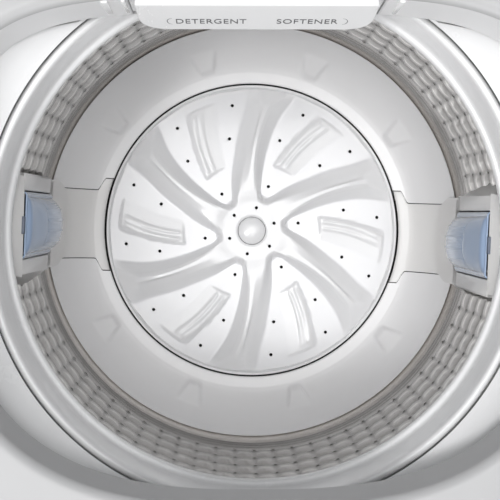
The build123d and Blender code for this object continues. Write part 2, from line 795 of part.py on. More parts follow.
lean = radians(180 - lidOpenAngle)
lidPlane = Plane(origin=(0, hingeY, hingeZ), x_dir=(1, 0, 0), z_dir=(0, -sin(lean), cos(lean)))
lidUnder = 13
lidOuter = 10
glassHalfWidth = 200
glassNear = 60
glassFar = 365
glassThick = 4


def lidLevel(offset):
    return lidPlane.offset(offset)


with BuildPart() as lidFrame:
    with BuildSketch(lidLevel(-lidOuter)):
        with Locations((0, lidLength / 2 + 2)):
            RectangleRounded(2 * lidHalfWidth, lidLength - 4, 22)
        with Locations((0, (glassNear + glassFar) / 2)):
            RectangleRounded(2 * glassHalfWidth, glassFar - glassNear, 16, mode=Mode.SUBTRACT)
    extrude(amount=lidOuter + lidUnder)
    # A ledge round the window carries the glass.
    with BuildSketch(lidLevel(-lidOuter + 1 + glassThick)):
        with Locations((0, (glassNear + glassFar) / 2)):
            RectangleRounded(2 * glassHalfWidth + 2, glassFar - glassNear + 2, 16)
            RectangleRounded(2 * glassHalfWidth - 20, glassFar - glassNear - 20, 12, mode=Mode.SUBTRACT)
    extrude(amount=5)
    # Knuckle along the hinge line.
    with BuildSketch(Plane(origin=(-lidHalfWidth, hingeY, hingeZ), x_dir=(0, 1, 0), z_dir=(1, 0, 0))):
        Circle(lidOuter)
    extrude(amount=2 * lidHalfWidth)
    with BuildSketch(Plane(origin=(-lidHalfWidth, hingeY, hingeZ), x_dir=(0, 1, 0), z_dir=(1, 0, 0))):
        Circle(pinRadius + runningGap)
    extrude(amount=2 * lidHalfWidth, mode=Mode.SUBTRACT)
    # A finger recess in the underside at the free edge.
    with BuildSketch(lidLevel(lidUnder)):
        with Locations((0, lidLength - 12)):
            Rectangle(130, 26)
    extrude(amount=-15, mode=Mode.SUBTRACT)
save(lidFrame, "lid_frame")

with BuildPart() as lidGlass:
    with BuildSketch(lidLevel(-lidOuter + 1)):
        with Locations((0, (glassNear + glassFar) / 2)):
            RectangleRounded(2 * glassHalfWidth - 0.4, glassFar - glassNear - 0.4, 15.8)
    extrude(amount=glassThick)
save(lidGlass, "lid_glass")

# ---- Control console ----

consoleTop = 966
panelFoot = (206, 893)
panelHead = (236, 953)
with BuildPart() as consoleHousing:
    with BuildSketch(Plane(origin=(-halfWidth, 0, 0), x_dir=(0, 1, 0), z_dir=(1, 0, 0))):
        with BuildLine():
            Polyline((consoleFront, coverTop), (consoleFront, 885), panelFoot, panelHead,
                     (242, consoleTop - 2), (250, consoleTop), (rearLimit - 6, consoleTop),
                     (rearLimit, consoleTop - 6), (rearLimit, coverTop), close=True)
        make_face()
    extrude(amount=cabinetWidth)
    with BuildSketch(Plane(origin=(-halfWidth + 3, 0, 0), x_dir=(0, 1, 0), z_dir=(1, 0, 0))):
        with BuildLine():
            Polyline((consoleFront + 3, coverTop), (consoleFront + 3, 885), (panelFoot[0] + 3, 893),
                     (panelHead[0] + 3, 952), (246, consoleTop - 5), (252, consoleTop - 3),
                     (rearLimit - 7, consoleTop - 3), (rearLimit - 3, consoleTop - 7),
                     (rearLimit - 3, coverTop), close=True)
        make_face()
    extrude(amount=cabinetWidth - 6, mode=Mode.SUBTRACT)
    slope = atan2(panelHead[1] - panelFoot[1], panelHead[0] - panelFoot[0])
    panelPlane = Plane(
        origin=(0, (panelFoot[0] + panelHead[0]) / 2, (panelFoot[1] + panelHead[1]) / 2),
        x_dir=(1, 0, 0), z_dir=(0, -sin(slope), cos(slope)))
    panelWidth = 470
    panelHeight = 54
    with BuildSketch(panelPlane):
        RectangleRounded(panelWidth, panelHeight, 6)
    extrude(amount=-12, mode=Mode.SUBTRACT)
save(consoleHousing, "console_housing")

panelThick = 2.5
buttonNames = ("power", "start", "program", "level", "wash", "spin")
buttonSpots = [(x, 0) for x in (153, 189, -200, -164, -128, -92)]
buttonRadius = 11
buttonGap = 0.4
displayWidth = 110
displayX = 55
with BuildPart() as controlPanel:
    with BuildSketch(panelPlane):
        RectangleRounded(panelWidth - 0.6, panelHeight - 0.6, 5.7)
        with Locations(*buttonSpots):
            Circle(buttonRadius + buttonGap, mode=Mode.SUBTRACT)
        with Locations((displayX, 0)):
            RectangleRounded(displayWidth, 34, 4, mode=Mode.SUBTRACT)
    extrude(amount=-panelThick)
save(controlPanel, "control_panel")

with BuildPart() as displayWindow:
    with BuildSketch(panelPlane):
        with Locations((displayX, 0)):
            RectangleRounded(displayWidth, 34, 4)
    extrude(amount=-panelThick)
save(displayWindow, "display_window")

buttonProud = 1.5
buttonTravel = 1.2
boardDepth = 9
for name, spot in zip(buttonNames, buttonSpots):
    with BuildPart() as button:
        with BuildSketch(panelPlane.offset(buttonProud)):
            with Locations(spot):
                Circle(buttonRadius)
        extrude(amount=-(buttonProud + panelThick))
        fillet(button.edges().filter_by(GeomType.CIRCLE).sort_by(Axis(panelPlane.origin, panelPlane.z_dir))[-1], 0.8)
        with BuildSketch(panelPlane.offset(-panelThick)):
            with Locations(spot):
                Circle(3)
        extrude(amount=-(boardDepth - panelThick - buttonTravel - 0.4))
    save(button, f"button_{name}")

with BuildPart() as circuitBoard:
    with BuildSketch(panelPlane.offset(-boardDepth)):
        RectangleRounded(panelWidth - 20, 40, 2)
    extrude(amount=-1.6)
save(circuitBoard, "circuit_board")

# ---- Detergent dispenser ----

trayBottom = 823
trayTop = 868
trayFront = 166
trayBack = 262
trayWall = 2
dividerX = 12
with BuildPart() as dispenserDrawer:
    with BuildSketch(level(trayBottom, 0, (trayFront + trayBack) / 2)):
        Rectangle(2 * drawerHalfWidth - 4, trayBack - trayFront)
    extrude(amount=trayTop - trayBottom)
    with BuildSketch(level(trayBottom + trayWall, 0, (trayFront + trayBack) / 2)):
        Rectangle(2 * drawerHalfWidth - 4 - 2 * trayWall, trayBack - trayFront - 2 * trayWall)
        with Locations((dividerX, 0)):
            Rectangle(trayWall, trayBack - trayFront, mode=Mode.SUBTRACT)
    extrude(amount=trayTop - trayBottom, mode=Mode.SUBTRACT)
    # The leaning front face.
    with BuildSketch(Plane(origin=(-drawerHalfWidth, 0, 0), x_dir=(0, 1, 0), z_dir=(1, 0, 0))):
        with BuildLine():
            Polyline((trayFront, trayBottom), (157, trayBottom), (153, 827), (161, 872), (164, 873),
                     (168, 873), (168, trayBottom), close=True)
        make_face()
    extrude(amount=2 * drawerHalfWidth)
save(dispenserDrawer, "dispenser_drawer")

# The siphon cap over the softener compartment.
with BuildPart() as softenerCap:
    with BuildSketch(level(trayTop, (dividerX + drawerHalfWidth) / 2, 220)):
        Rectangle(drawerHalfWidth - dividerX - 4, 60)
        with Locations((0, -15)):
            Circle(7, mode=Mode.SUBTRACT)
    extrude(amount=1.6)
    with BuildSketch(level(trayTop, (dividerX + drawerHalfWidth) / 2, 240)):
        Circle(6)
        Circle(4.5, mode=Mode.SUBTRACT)
    extrude(amount=-30)
save(softenerCap, "softener_cap")

# The fixed box that the drawer slides in, hung behind the well's wall.
boxHalf = drawerHalfWidth + 2.6
with BuildPart() as dispenserHousing:
    with BuildSketch(level(818, 0, 227)):
        Rectangle(2 * boxHalf, 96)
    extrude(amount=876.5 - 818)
    with BuildSketch(level(820.5, 0, 225)):
        Rectangle(2 * (boxHalf - 2), 96)
    extrude(amount=874 - 820.5, mode=Mode.SUBTRACT)
save(dispenserHousing, "dispenser_housing")

# ---- Water inlet, drain outlet and cord entry ----

with BuildPart() as inletValve:
    with BuildSketch(level(inletZ - 22, inletX, 258)):
        RectangleRounded(46, 44, 6)
    extrude(amount=44)
    with BuildSketch(Plane(origin=(inletX, 279, inletZ), x_dir=(1, 0, 0), z_dir=(0, 1, 0))):
        Circle(19)
    extrude(amount=cabinetBack - 279)
    with BuildSketch(Plane(origin=(inletX, 279, inletZ), x_dir=(1, 0, 0), z_dir=(0, 1, 0))):
        Circle(inletRadius)
    extrude(amount=rearLimit - 279)
    with BuildSketch(Plane(origin=(inletX, rearLimit, inletZ), x_dir=(1, 0, 0), z_dir=(0, 1, 0))):
        Circle(inletRadius - 4)
    extrude(amount=-24, mode=Mode.SUBTRACT)
save(inletValve, "inlet_valve")

with BuildPart() as drainOutlet:
    with BuildSketch(Plane(origin=(drainX, cabinetBack - 30, drainZ), x_dir=(1, 0, 0), z_dir=(0, 1, 0))):
        Circle(drainRadius)
    extrude(amount=rearLimit - cabinetBack + 30)
    with BuildSketch(Plane(origin=(drainX, cabinetBack - 4, drainZ), x_dir=(1, 0, 0), z_dir=(0, 1, 0))):
        Circle(26)
    extrude(amount=2.5)
    with BuildSketch(Plane(origin=(drainX, rearLimit, drainZ), x_dir=(1, 0, 0), z_dir=(0, 1, 0))):
        Circle(drainRadius - 2.5)
    extrude(amount=-60, mode=Mode.SUBTRACT)
save(drainOutlet, "drain_outlet")

cordRadius = 4
with BuildPart() as cordGland:
    with BuildSketch(Plane(origin=(glandX, cabinetBack - 6, glandZ), x_dir=(1, 0, 0), z_dir=(0, 1, 0))):
        Circle(glandRadius)
    extrude(amount=16)
    with BuildSketch(Plane(origin=(glandX, cabinetBack + sheetSteel, glandZ), x_dir=(1, 0, 0), z_dir=(0, 1, 0))):
        Circle(glandRadius + 4)
    extrude(amount=3)
    with BuildSketch(Plane(origin=(glandX, cabinetBack - 6, glandZ), x_dir=(1, 0, 0), z_dir=(0, 1, 0))):
        Circle(cordRadius)
    extrude(amount=16, mode=Mode.SUBTRACT)
save(cordGland, "cord_gland")
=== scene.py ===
import json
import math

import bmesh
import bpy
from mathutils import Matrix, Vector


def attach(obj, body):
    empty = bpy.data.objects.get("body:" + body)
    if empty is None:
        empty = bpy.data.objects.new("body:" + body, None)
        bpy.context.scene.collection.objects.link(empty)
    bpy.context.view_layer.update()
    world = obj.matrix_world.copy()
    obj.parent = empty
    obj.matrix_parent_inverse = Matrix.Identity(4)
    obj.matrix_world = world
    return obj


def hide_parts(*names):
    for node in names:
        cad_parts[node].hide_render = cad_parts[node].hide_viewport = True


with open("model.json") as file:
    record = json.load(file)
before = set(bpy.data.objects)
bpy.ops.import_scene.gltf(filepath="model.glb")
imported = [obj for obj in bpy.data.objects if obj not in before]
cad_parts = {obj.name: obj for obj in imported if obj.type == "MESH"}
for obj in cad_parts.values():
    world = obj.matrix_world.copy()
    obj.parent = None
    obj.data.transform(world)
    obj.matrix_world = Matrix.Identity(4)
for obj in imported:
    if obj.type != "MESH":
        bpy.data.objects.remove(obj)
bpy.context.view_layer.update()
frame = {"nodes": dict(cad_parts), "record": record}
nodes = frame["nodes"]
mm = 0.001
tubY = -20.0  # the tub, basket and pulsator share this axis
scene = bpy.context.scene


def lerp(a, b, t):
    return a + (b - a) * t


def smooth(t):
    # an S shaped step from 0 to 1
    t = min(1.0, max(0.0, t))
    return t * t * (3 - 2 * t)


def ramp(x, low, high):
    return smooth((x - low) / (high - low))


def incline(x, low, high):
    # a straight slope from 0 to 1, only just eased at both ends
    t = min(1.0, max(0.0, (x - low) / (high - low)))
    return 0.75 * t + 0.25 * smooth(t)


def along(points, x):
    # smooth curve through (x, value) pairs, flat past both ends
    if x <= points[0][0]:
        return points[0][1]
    for i in range(len(points) - 1):
        x0, y0 = points[i]
        x1, y1 = points[i + 1]
        if x <= x1:
            t = (x - x0) / (x1 - x0)
            before = points[i - 1] if i > 0 else points[i]
            after = points[i + 2] if i + 2 < len(points) else points[i + 1]
            m0 = (y1 - before[1]) / (x1 - before[0]) * (x1 - x0)
            m1 = (after[1] - y0) / (after[0] - x0) * (x1 - x0)
            return ((2 * t**3 - 3 * t**2 + 1) * y0 + (t**3 - 2 * t**2 + t) * m0
                    + (3 * t**2 - 2 * t**3) * y1 + (t**3 - t**2) * m1)
    return points[-1][1]


def rounded(corners, segments=5):
    # a closed outline whose (x, y, reach) corners are eased by soft curves
    out = []
    for i, (x, y, reach) in enumerate(corners):
        here = Vector((x, y))
        before = Vector(corners[i - 1][:2])
        after = Vector(corners[(i + 1) % len(corners)][:2])
        if reach == 0:
            out.append(here)
            continue
        start = here + (before - here).normalized() * min(reach, 0.48 * (before - here).length)
        end = here + (after - here).normalized() * min(reach, 0.48 * (after - here).length)
        for k in range(segments + 1):
            t = k / segments
            out.append(start * (1 - t)**2 + here * 2 * t * (1 - t) + end * t**2)
    return out


def finish(name, bm, material, body, stands=(), flat=False):
    # turns a bmesh into a finished piece that rides on a body
    mesh = bpy.data.meshes.new(name)
    bm.to_mesh(mesh)
    bm.free()
    mesh.materials.append(material)
    piece = bpy.data.objects.new(name, mesh)
    scene.collection.objects.link(piece)
    if not flat:
        mesh.polygons.foreach_set("use_smooth", [True] * len(mesh.polygons))
    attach(piece, body)
    if stands:
        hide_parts(*stands)
    return piece


def spun(points, steps, closed=True):
    # revolves radius and height points, in mm, about the tub's axis
    bm = bmesh.new()
    verts = [bm.verts.new((p[0] * mm, tubY * mm, p[1] * mm)) for p in points]
    edges = [bm.edges.new((verts[i], verts[i + 1])) for i in range(len(verts) - 1)]
    if closed:
        edges.append(bm.edges.new((verts[-1], verts[0])))
    bmesh.ops.spin(bm, geom=verts + edges, cent=(0, tubY * mm, 0), axis=(0, 0, 1), dvec=(0, 0, 0),
                   angle=math.tau, steps=steps, use_merge=True, use_duplicate=False)
    bmesh.ops.remove_doubles(bm, verts=bm.verts, dist=0.00002)
    bmesh.ops.recalc_face_normals(bm, faces=bm.faces)
    return bm


def blockPiece(bm, low, high, bevel=0.0, segments=2):
    # an upright box between two corners in mm
    verts = bmesh.ops.create_cube(bm, size=1.0)["verts"]
    for vert in verts:
        vert.co = Vector([lerp(low[i], high[i], vert.co[i] + 0.5) for i in range(3)]) * mm
    if bevel:
        edges = list({e for v in verts for e in v.link_edges})
        bmesh.ops.bevel(bm, geom=edges, offset=bevel * mm, segments=segments, profile=0.5, affect="EDGES",
                        material=-1)


def sharpen(piece, degrees):
    # keeps crisp creases where faces meet at a steep angle
    mesh = piece.data
    bm = bmesh.new()
    bm.from_mesh(mesh)
    for edge in bm.edges:
        if len(edge.link_faces) == 2 and edge.calc_face_angle(0) > math.radians(degrees):
            edge.smooth = False
    bm.to_mesh(mesh)
    bm.free()


# camera first, straight above the open mouth and leaning a little to the front
cameraView = {
    "place": (-0.022, 0.0, 1.820),
    "aim": (-0.002, -0.043, 0.395),
    "lens": 86.4,
}


def makeCamera():
    data = bpy.data.cameras.new("camera")
    data.lens = cameraView["lens"]
    data.sensor_width = 36
    data.clip_end = 20
    camera = bpy.data.objects.new("camera", data)
    scene.collection.objects.link(camera)
    place = Vector(cameraView["place"])
    look = (Vector(cameraView["aim"]) - place).normalized()
    right = look.cross(Vector((0, 1, 0))).normalized()
    up = right.cross(look)
    turn = Matrix((right, up, -look)).transposed()
    camera.matrix_world = Matrix.Translation(place) @ turn.to_4x4()
    scene.camera = camera


makeCamera()
print("camera set")


# shared shader effects, each built once as a node group

def makeGroup(name, inputs, outputs):
    group = bpy.data.node_groups.new(name, "ShaderNodeTree")
    for label, default in inputs:
        socket = group.interface.new_socket(name=label, in_out="INPUT", socket_type="NodeSocketFloat")
        socket.default_value = default
    for label in outputs:
        group.interface.new_socket(name=label, in_out="OUTPUT", socket_type="NodeSocketFloat")
    return group, group.nodes.new("NodeGroupInput"), group.nodes.new("NodeGroupOutput")


def link(tree, source, target):
    tree.links.new(source, target)


def maths(tree, operation, a, b=None):
    node = tree.nodes.new("ShaderNodeMath")
    node.operation = operation
    for i, value in enumerate((a, b)):
        if value is None:
            continue
        if isinstance(value, (int, float)):
            node.inputs[i].default_value = value
        else:
            tree.links.new(value, node.inputs[i])
    return node.outputs[0]


def noise(tree, vector, scale, detail=3.0, roughness=0.5):
    node = tree.nodes.new("ShaderNodeTexNoise")
    node.inputs["Detail"].default_value = detail
    node.inputs["Roughness"].default_value = roughness
    tree.links.new(vector, node.inputs["Vector"])
    if isinstance(scale, (int, float)):
        node.inputs["Scale"].default_value = scale
    else:
        tree.links.new(scale, node.inputs["Scale"])
    return node.outputs["Fac"]


def buildMouldSkin():
    # slow shade drift, fine satin grain and faint scuffs of a moulded or painted face
    group, source, sink = makeGroup("mouldSkin", [("Drift Scale", 6.0), ("Grain Scale", 900.0)],
                                    ["Drift", "Grain", "Scuffs"])
    coords = group.nodes.new("ShaderNodeTexCoord").outputs["Object"]
    link(group, noise(group, coords, source.outputs["Drift Scale"], 2.0), sink.inputs["Drift"])
    link(group, noise(group, coords, source.outputs["Grain Scale"], 1.0), sink.inputs["Grain"])
    stretch = group.nodes.new("ShaderNodeMapping")
    stretch.inputs["Scale"].default_value = (220, 30, 60)
    stretch.inputs["Rotation"].default_value = (0.3, 0.5, 0.9)
    link(group, coords, stretch.inputs["Vector"])
    streaks = noise(group, stretch.outputs["Vector"], 1.0, 4.0, 0.6)
    link(group, maths(group, "MULTIPLY", maths(group, "SUBTRACT", streaks, 0.62), 6.0), sink.inputs["Scuffs"])
    return group


def buildDust():
    # a soft mask of dust and water marks that settle on faces that look up
    group, source, sink = makeGroup("settledDust", [("Amount", 0.5)], ["Mask"])
    geometry = group.nodes.new("ShaderNodeNewGeometry")
    split = group.nodes.new("ShaderNodeSeparateXYZ")
    link(group, geometry.outputs["Normal"], split.inputs["Vector"])
    upward = maths(group, "MAXIMUM", split.outputs["Z"], 0.0)
    coords = group.nodes.new("ShaderNodeTexCoord").outputs["Object"]
    blots = noise(group, coords, 28.0, 5.0, 0.65)
    patch = maths(group, "MAXIMUM", maths(group, "MULTIPLY", maths(group, "SUBTRACT", blots, 0.5), 3.0), 0.0)
    mask = maths(group, "MULTIPLY", maths(group, "MULTIPLY", patch, upward), source.outputs["Amount"])
    link(group, mask, sink.inputs["Mask"])
    return group


def buildEdgeWear():
    # rubbed, paler edges found from how pointed the surface is
    group, source, sink = makeGroup("edgeWear", [("Amount", 1.0)], ["Mask"])
    point = group.nodes.new("ShaderNodeNewGeometry").outputs["Pointiness"]
    coords = group.nodes.new("ShaderNodeTexCoord").outputs["Object"]
    edge = maths(group, "MULTIPLY", maths(group, "SUBTRACT", point, 0.52), 14.0)
    broken = maths(group, "MULTIPLY", maths(group, "MAXIMUM", edge, 0.0), noise(group, coords, 60.0, 3.0))
    result = maths(group, "MINIMUM", maths(group, "MULTIPLY", broken, source.outputs["Amount"]), 1.0)
    link(group, result, sink.inputs["Mask"])
    return group


def buildBrushed():
    # fine rolled grain, drawn out round the drum or along a sheet
    group, source, sink = makeGroup("rolledGrain", [("Across", 900.0), ("Up", 60.0)], ["Grain"])
    coords = group.nodes.new("ShaderNodeTexCoord").outputs["Object"]
    split = group.nodes.new("ShaderNodeSeparateXYZ")
    link(group, coords, split.inputs["Vector"])
    joined = group.nodes.new("ShaderNodeCombineXYZ")
    link(group, maths(group, "MULTIPLY", split.outputs["X"], source.outputs["Up"]), joined.inputs["X"])
    link(group, maths(group, "MULTIPLY", split.outputs["Y"], source.outputs["Up"]), joined.inputs["Y"])
    link(group, maths(group, "MULTIPLY", split.outputs["Z"], source.outputs["Across"]), joined.inputs["Z"])
    link(group, noise(group, joined.outputs["Vector"], 1.0, 4.0, 0.6), sink.inputs["Grain"])
    return group


mouldSkin = buildMouldSkin()
settledDust = buildDust()
edgeWear = buildEdgeWear()
rolledGrain = buildBrushed()


def useGroup(tree, group, **values):
    node = tree.nodes.new("ShaderNodeGroup")
    node.node_tree = group
    for label, value in values.items():
        node.inputs[label.replace("_", " ")].default_value = value
    return node


def mixColour(tree, mask, a, b):
    node = tree.nodes.new("ShaderNodeMix")
    node.data_type = "RGBA"
    tree.links.new(mask, node.inputs["Factor"])
    for value, socket in ((a, node.inputs["A"]), (b, node.inputs["B"])):
        if isinstance(value, tuple):
            socket.default_value = (*value, 1)
        else:
            tree.links.new(value, socket)
    return node.outputs["Result"]


def newMaterial(name):
    material = bpy.data.materials.new(name)
    material.use_nodes = True
    tree = material.node_tree
    return material, tree, tree.nodes["Principled BSDF"]


def bump(tree, shader, height, strength, distance=0.001):
    node = tree.nodes.new("ShaderNodeBump")
    node.inputs["Strength"].default_value = strength
    node.inputs["Distance"].default_value = distance
    link(tree, height, node.inputs["Height"])
    link(tree, node.outputs["Normal"], shader.inputs["Normal"])


def plasticLook(name, colour, shade, roughness=0.3, gloss=0.5, dust=0.25, wear=0.4, grain=0.04,
                driftScale=5.0, grainScale=900.0, metallic=0.0, coat=0.0, panel=None):
    # moulded or painted finish: drifting shade, satin grain, scuffs, dust and pale worn edges;
    # panel is a second colour laid where the mesh's own panel attribute says, used for painted light and shade
    material, tree, shader = newMaterial(name)
    skin = useGroup(tree, mouldSkin, Drift_Scale=driftScale, Grain_Scale=grainScale)
    base = mixColour(tree, skin.outputs["Drift"], colour, shade)
    worn = useGroup(tree, edgeWear, Amount=wear)
    lighter = tuple(min(1.0, c * 1.15 + 0.04) for c in colour)
    if panel:
        field = tree.nodes.new("ShaderNodeAttribute")
        field.attribute_name = "panel"
        base = mixColour(tree, field.outputs["Fac"], base, panel)
    base = mixColour(tree, worn.outputs["Mask"], base, lighter)
    dusty = useGroup(tree, settledDust, Amount=dust)
    base = mixColour(tree, dusty.outputs["Mask"], base, tuple(lerp(c, 0.62, 0.5) for c in colour))
    link(tree, base, shader.inputs["Base Color"])
    rough = maths(tree, "ADD", maths(tree, "MULTIPLY", skin.outputs["Drift"], 0.08), roughness - 0.04)
    rough = maths(tree, "ADD", rough, maths(tree, "MULTIPLY", skin.outputs["Scuffs"], 0.006))
    rough = maths(tree, "ADD", rough, maths(tree, "MULTIPLY", dusty.outputs["Mask"], 0.25))
    link(tree, rough, shader.inputs["Roughness"])
    shader.inputs["Metallic"].default_value = metallic
    shader.inputs["Specular IOR Level"].default_value = gloss
    shader.inputs["Coat Weight"].default_value = coat
    shader.inputs["Coat Roughness"].default_value = 0.12
    bump(tree, shader, skin.outputs["Grain"], grain)
    return material


def metalLook(name, colour, shade, roughness=0.3, across=900.0, up=60.0, wear=0.3, grain=0.1):
    material, tree, shader = newMaterial(name)
    rolled = useGroup(tree, rolledGrain, Across=across, Up=up)
    skin = useGroup(tree, mouldSkin, Drift_Scale=9.0, Grain_Scale=500.0)
    base = mixColour(tree, skin.outputs["Drift"], colour, shade)
    worn = useGroup(tree, edgeWear, Amount=wear)
    base = mixColour(tree, worn.outputs["Mask"], base, tuple(min(1.0, c * 1.2) for c in colour))
    link(tree, base, shader.inputs["Base Color"])
    shader.inputs["Metallic"].default_value = 1.0
    rough = maths(tree, "ADD", maths(tree, "MULTIPLY", rolled.outputs["Grain"], 0.16), roughness - 0.08)
    link(tree, rough, shader.inputs["Roughness"])
    bump(tree, shader, rolled.outputs["Grain"], grain)
    return material


whiteMoulding = plasticLook("whiteMoulding", (0.90, 0.90, 0.905), (0.87, 0.87, 0.875), roughness=0.26,
                            coat=0.25)
# the cover's white plastic painted darker as painted shade, with its panel colour as painted light on the back
# of the well's wall
coverWhiteLitAndShaded = plasticLook("coverWhiteLitAndShaded", (0.50, 0.50, 0.505), (0.48, 0.48, 0.485), roughness=0.36, gloss=0.25,
                         panel=(0.84, 0.84, 0.845))
# the pulsator's white, with a slightly darker panel colour laid on the window floors as painted shade
pulsatorWhite = plasticLook("pulsatorWhite", (0.85, 0.85, 0.86), (0.83, 0.83, 0.84), roughness=0.25,
                            dust=0.08, wear=0.0, coat=0.3, panel=(0.82, 0.82, 0.835))
bowlWhite = plasticLook("bowlWhite", (0.93, 0.925, 0.93), (0.905, 0.90, 0.905), roughness=0.32, dust=0.1,
                        wear=0.1)
greyMoulding = plasticLook("greyMoulding", (0.72, 0.72, 0.72), (0.68, 0.68, 0.68), roughness=0.34, dust=0.2)
ductGrey = plasticLook("ductGrey", (0.89, 0.88, 0.87), (0.86, 0.85, 0.84), roughness=0.34, dust=0.1, wear=0.2)
# near-black painted shade for hole walls and shaded recesses
paintedHoleShade = plasticLook("paintedHoleShade", (0.02, 0.02, 0.02), (0.015, 0.015, 0.015), roughness=0.8, dust=0.0,
                       wear=0.0)
whitePaint = plasticLook("whitePaint", (0.84, 0.845, 0.85), (0.81, 0.815, 0.82), roughness=0.3, grain=0.12,
                         grainScale=420.0, coat=0.4)
tubMoulding = plasticLook("tubMoulding", (0.70, 0.71, 0.70), (0.62, 0.63, 0.62), roughness=0.5, dust=0.6)
darkMoulding = plasticLook("darkMoulding", (0.045, 0.046, 0.05), (0.03, 0.03, 0.034), roughness=0.5, dust=0.8,
                           grain=0.15)
softRubber = plasticLook("softRubber", (0.03, 0.03, 0.03), (0.02, 0.02, 0.02), roughness=0.75, dust=0.9,
                         grain=0.2, gloss=0.3)
boardGreen = plasticLook("boardGreen", (0.03, 0.16, 0.07), (0.02, 0.11, 0.05), roughness=0.35)
displayBlack = plasticLook("displayBlack", (0.012, 0.012, 0.015), (0.01, 0.01, 0.012), roughness=0.08,
                           dust=0.1, coat=0.8)
blueMoulding = plasticLook("blueMoulding", (0.36, 0.46, 0.63), (0.31, 0.41, 0.58), roughness=0.2, dust=0.05,
                           coat=0.4)
printInk = plasticLook("printInk", (0.10, 0.10, 0.105), (0.08, 0.08, 0.085), roughness=0.5)
zincSteel = metalLook("zincSteel", (0.60, 0.60, 0.58), (0.52, 0.52, 0.50), roughness=0.38)
castAluminium = metalLook("castAluminium", (0.62, 0.62, 0.63), (0.54, 0.54, 0.55), roughness=0.5, across=260.0,
                          up=240.0, grain=0.25)
print("shared materials made")


def drumSteel():
    # rolled steel, warm grey, with painted shade: darker in front, the low band darker most at the back right,
    # dark seams and a painted highlight along each pillow's crest
    material, tree, shader = newMaterial("drumSteel")
    coords = tree.nodes.new("ShaderNodeTexCoord").outputs["Object"]
    split = tree.nodes.new("ShaderNodeSeparateXYZ")
    link(tree, coords, split.inputs["Vector"])
    low = tree.nodes.new("ShaderNodeMapRange")
    low.inputs["From Min"].default_value = 0.508
    low.inputs["From Max"].default_value = 0.516
    link(tree, split.outputs["Z"], low.inputs["Value"])
    # painted shade: the low band is painted darker towards the back right
    around = maths(tree, "ADD", maths(tree, "MULTIPLY", split.outputs["X"], 0.6), split.outputs["Y"])
    bandShadeMask = tree.nodes.new("ShaderNodeMapRange")
    bandShadeMask.inputs["From Min"].default_value = -0.26
    bandShadeMask.inputs["From Max"].default_value = 0.05
    link(tree, around, bandShadeMask.inputs["Value"])
    rolled = useGroup(tree, rolledGrain, Across=700.0, Up=45.0)
    skin = useGroup(tree, mouldSkin, Drift_Scale=10.0, Grain_Scale=600.0)
    band = mixColour(tree, bandShadeMask.outputs["Result"], (0.60, 0.57, 0.54), (0.36, 0.335, 0.31))
    # painted shade in the pillows' seams and a painted highlight along their crests, read from the mesh
    shadeAndHighlight = tree.nodes.new("ShaderNodeAttribute")
    shadeAndHighlight.attribute_name = "shadeAndHighlight"
    seamShade = mixColour(tree, skin.outputs["Drift"], (0.24, 0.23, 0.22), (0.18, 0.17, 0.16))
    # painted shade: the steel's bright colour is painted darker towards the front
    front = tree.nodes.new("ShaderNodeMapRange")
    front.inputs["From Min"].default_value = -0.26
    front.inputs["From Max"].default_value = -0.04
    front.inputs["To Min"].default_value = 0.3
    link(tree, split.outputs["Y"], front.inputs["Value"])
    lit = maths(tree, "MULTIPLY", shadeAndHighlight.outputs["Fac"], front.outputs["Result"])
    bright = mixColour(tree, lit, seamShade, (0.92, 0.90, 0.87))
    base = mixColour(tree, low.outputs["Result"], band, bright)
    link(tree, base, shader.inputs["Base Color"])
    shader.inputs["Metallic"].default_value = 1.0
    rough = maths(tree, "ADD", maths(tree, "MULTIPLY", rolled.outputs["Grain"], 0.12), 0.18)
    link(tree, rough, shader.inputs["Roughness"])
    bump(tree, shader, rolled.outputs["Grain"], 0.08)
    return material


steelMaterial = drumSteel()

# pulsator: six swept vanes between six flat leaf panels

pulsatorShape = {
    "columns": 80,          # grid columns in each 60 degree sector
    "radius": 172.5,
    "floorHeight": 391.0,
    "floorDish": 2.5,       # how much higher the panels lie at the middle
    "vaneHeight": 19.0,
    "hubHeight": 15.0,
    "padHeight": 3.8,
    "ribHeight": 1.9,
    "ridgeFall": 4.2,       # from a vane's crest to where its flanks begin
    "padInner": 81.0,
    "padOuter": 156.4,
    "ribSpots": (5.2, 13.0),  # across the pad from its high edge
    "holeRadius": 1.85,
}

# where each sector's lines run, in degrees clockwise from the back, at a radius in mm
panelLeft = [(40, 20.5), (44, 15.5), (49, 12.4), (59, 11.0), (80, 10.2), (109, 11.2),
             (134, 13.4), (166, 18.2)]
panelRight = [(40, 22.5), (44, 27.0), (50, 32.0), (69, 40.2), (91, 47.2), (119, 52.8),
              (142, 56.6), (166, 58.4)]
leftFlank = [(33, 12.0), (42, 8.5), (56, 4.8), (75, 3.8), (104, 5.2), (134, 8.0), (152, 10.6), (166, 14.6)]
rightFlank = [(33, 32.0), (42, 37.0), (54, 44.8), (74, 52.8), (99, 58.8), (128, 62.6),
              (151, 63.4), (166, 63.2)]
padLeft = [(80, 18.8), (118, 25.4), (158, 32.0)]
padRight = [(80, 38.4), (118, 41.0), (158, 44.6)]
hubStart = 34.0


def sectorAngle(column, r):
    # maps an even grid column to the angle where the sector's own lines lie
    keys = [(0.0, lerp(-4.0, along(leftFlank, r) - 3.0, ramp(r, 34, 60))),
            (0.10, along(leftFlank, r)), (0.24, along(panelLeft, r)),
            (0.72, along(panelRight, r)), (0.88, along(rightFlank, r))]
    keys.append((1.0, keys[0][1] + 60.0))
    even = column * 60.0
    for (u0, a0), (u1, a1) in zip(keys, keys[1:]):
        if column <= u1 + 1e-9:
            keyed = lerp(a0, a1, (column - u0) / (u1 - u0))
            return lerp(even, keyed, ramp(r, 22, 34))
    return even


def panelDepth(column, r):
    # 0 on the vanes and hub, 1 on a panel's flat floor
    left = incline(column, 0.10, 0.24)
    right = 1 - incline(column, 0.72, 0.88)
    inner = ramp(r, hubStart, 43)
    return min(left, right) * inner


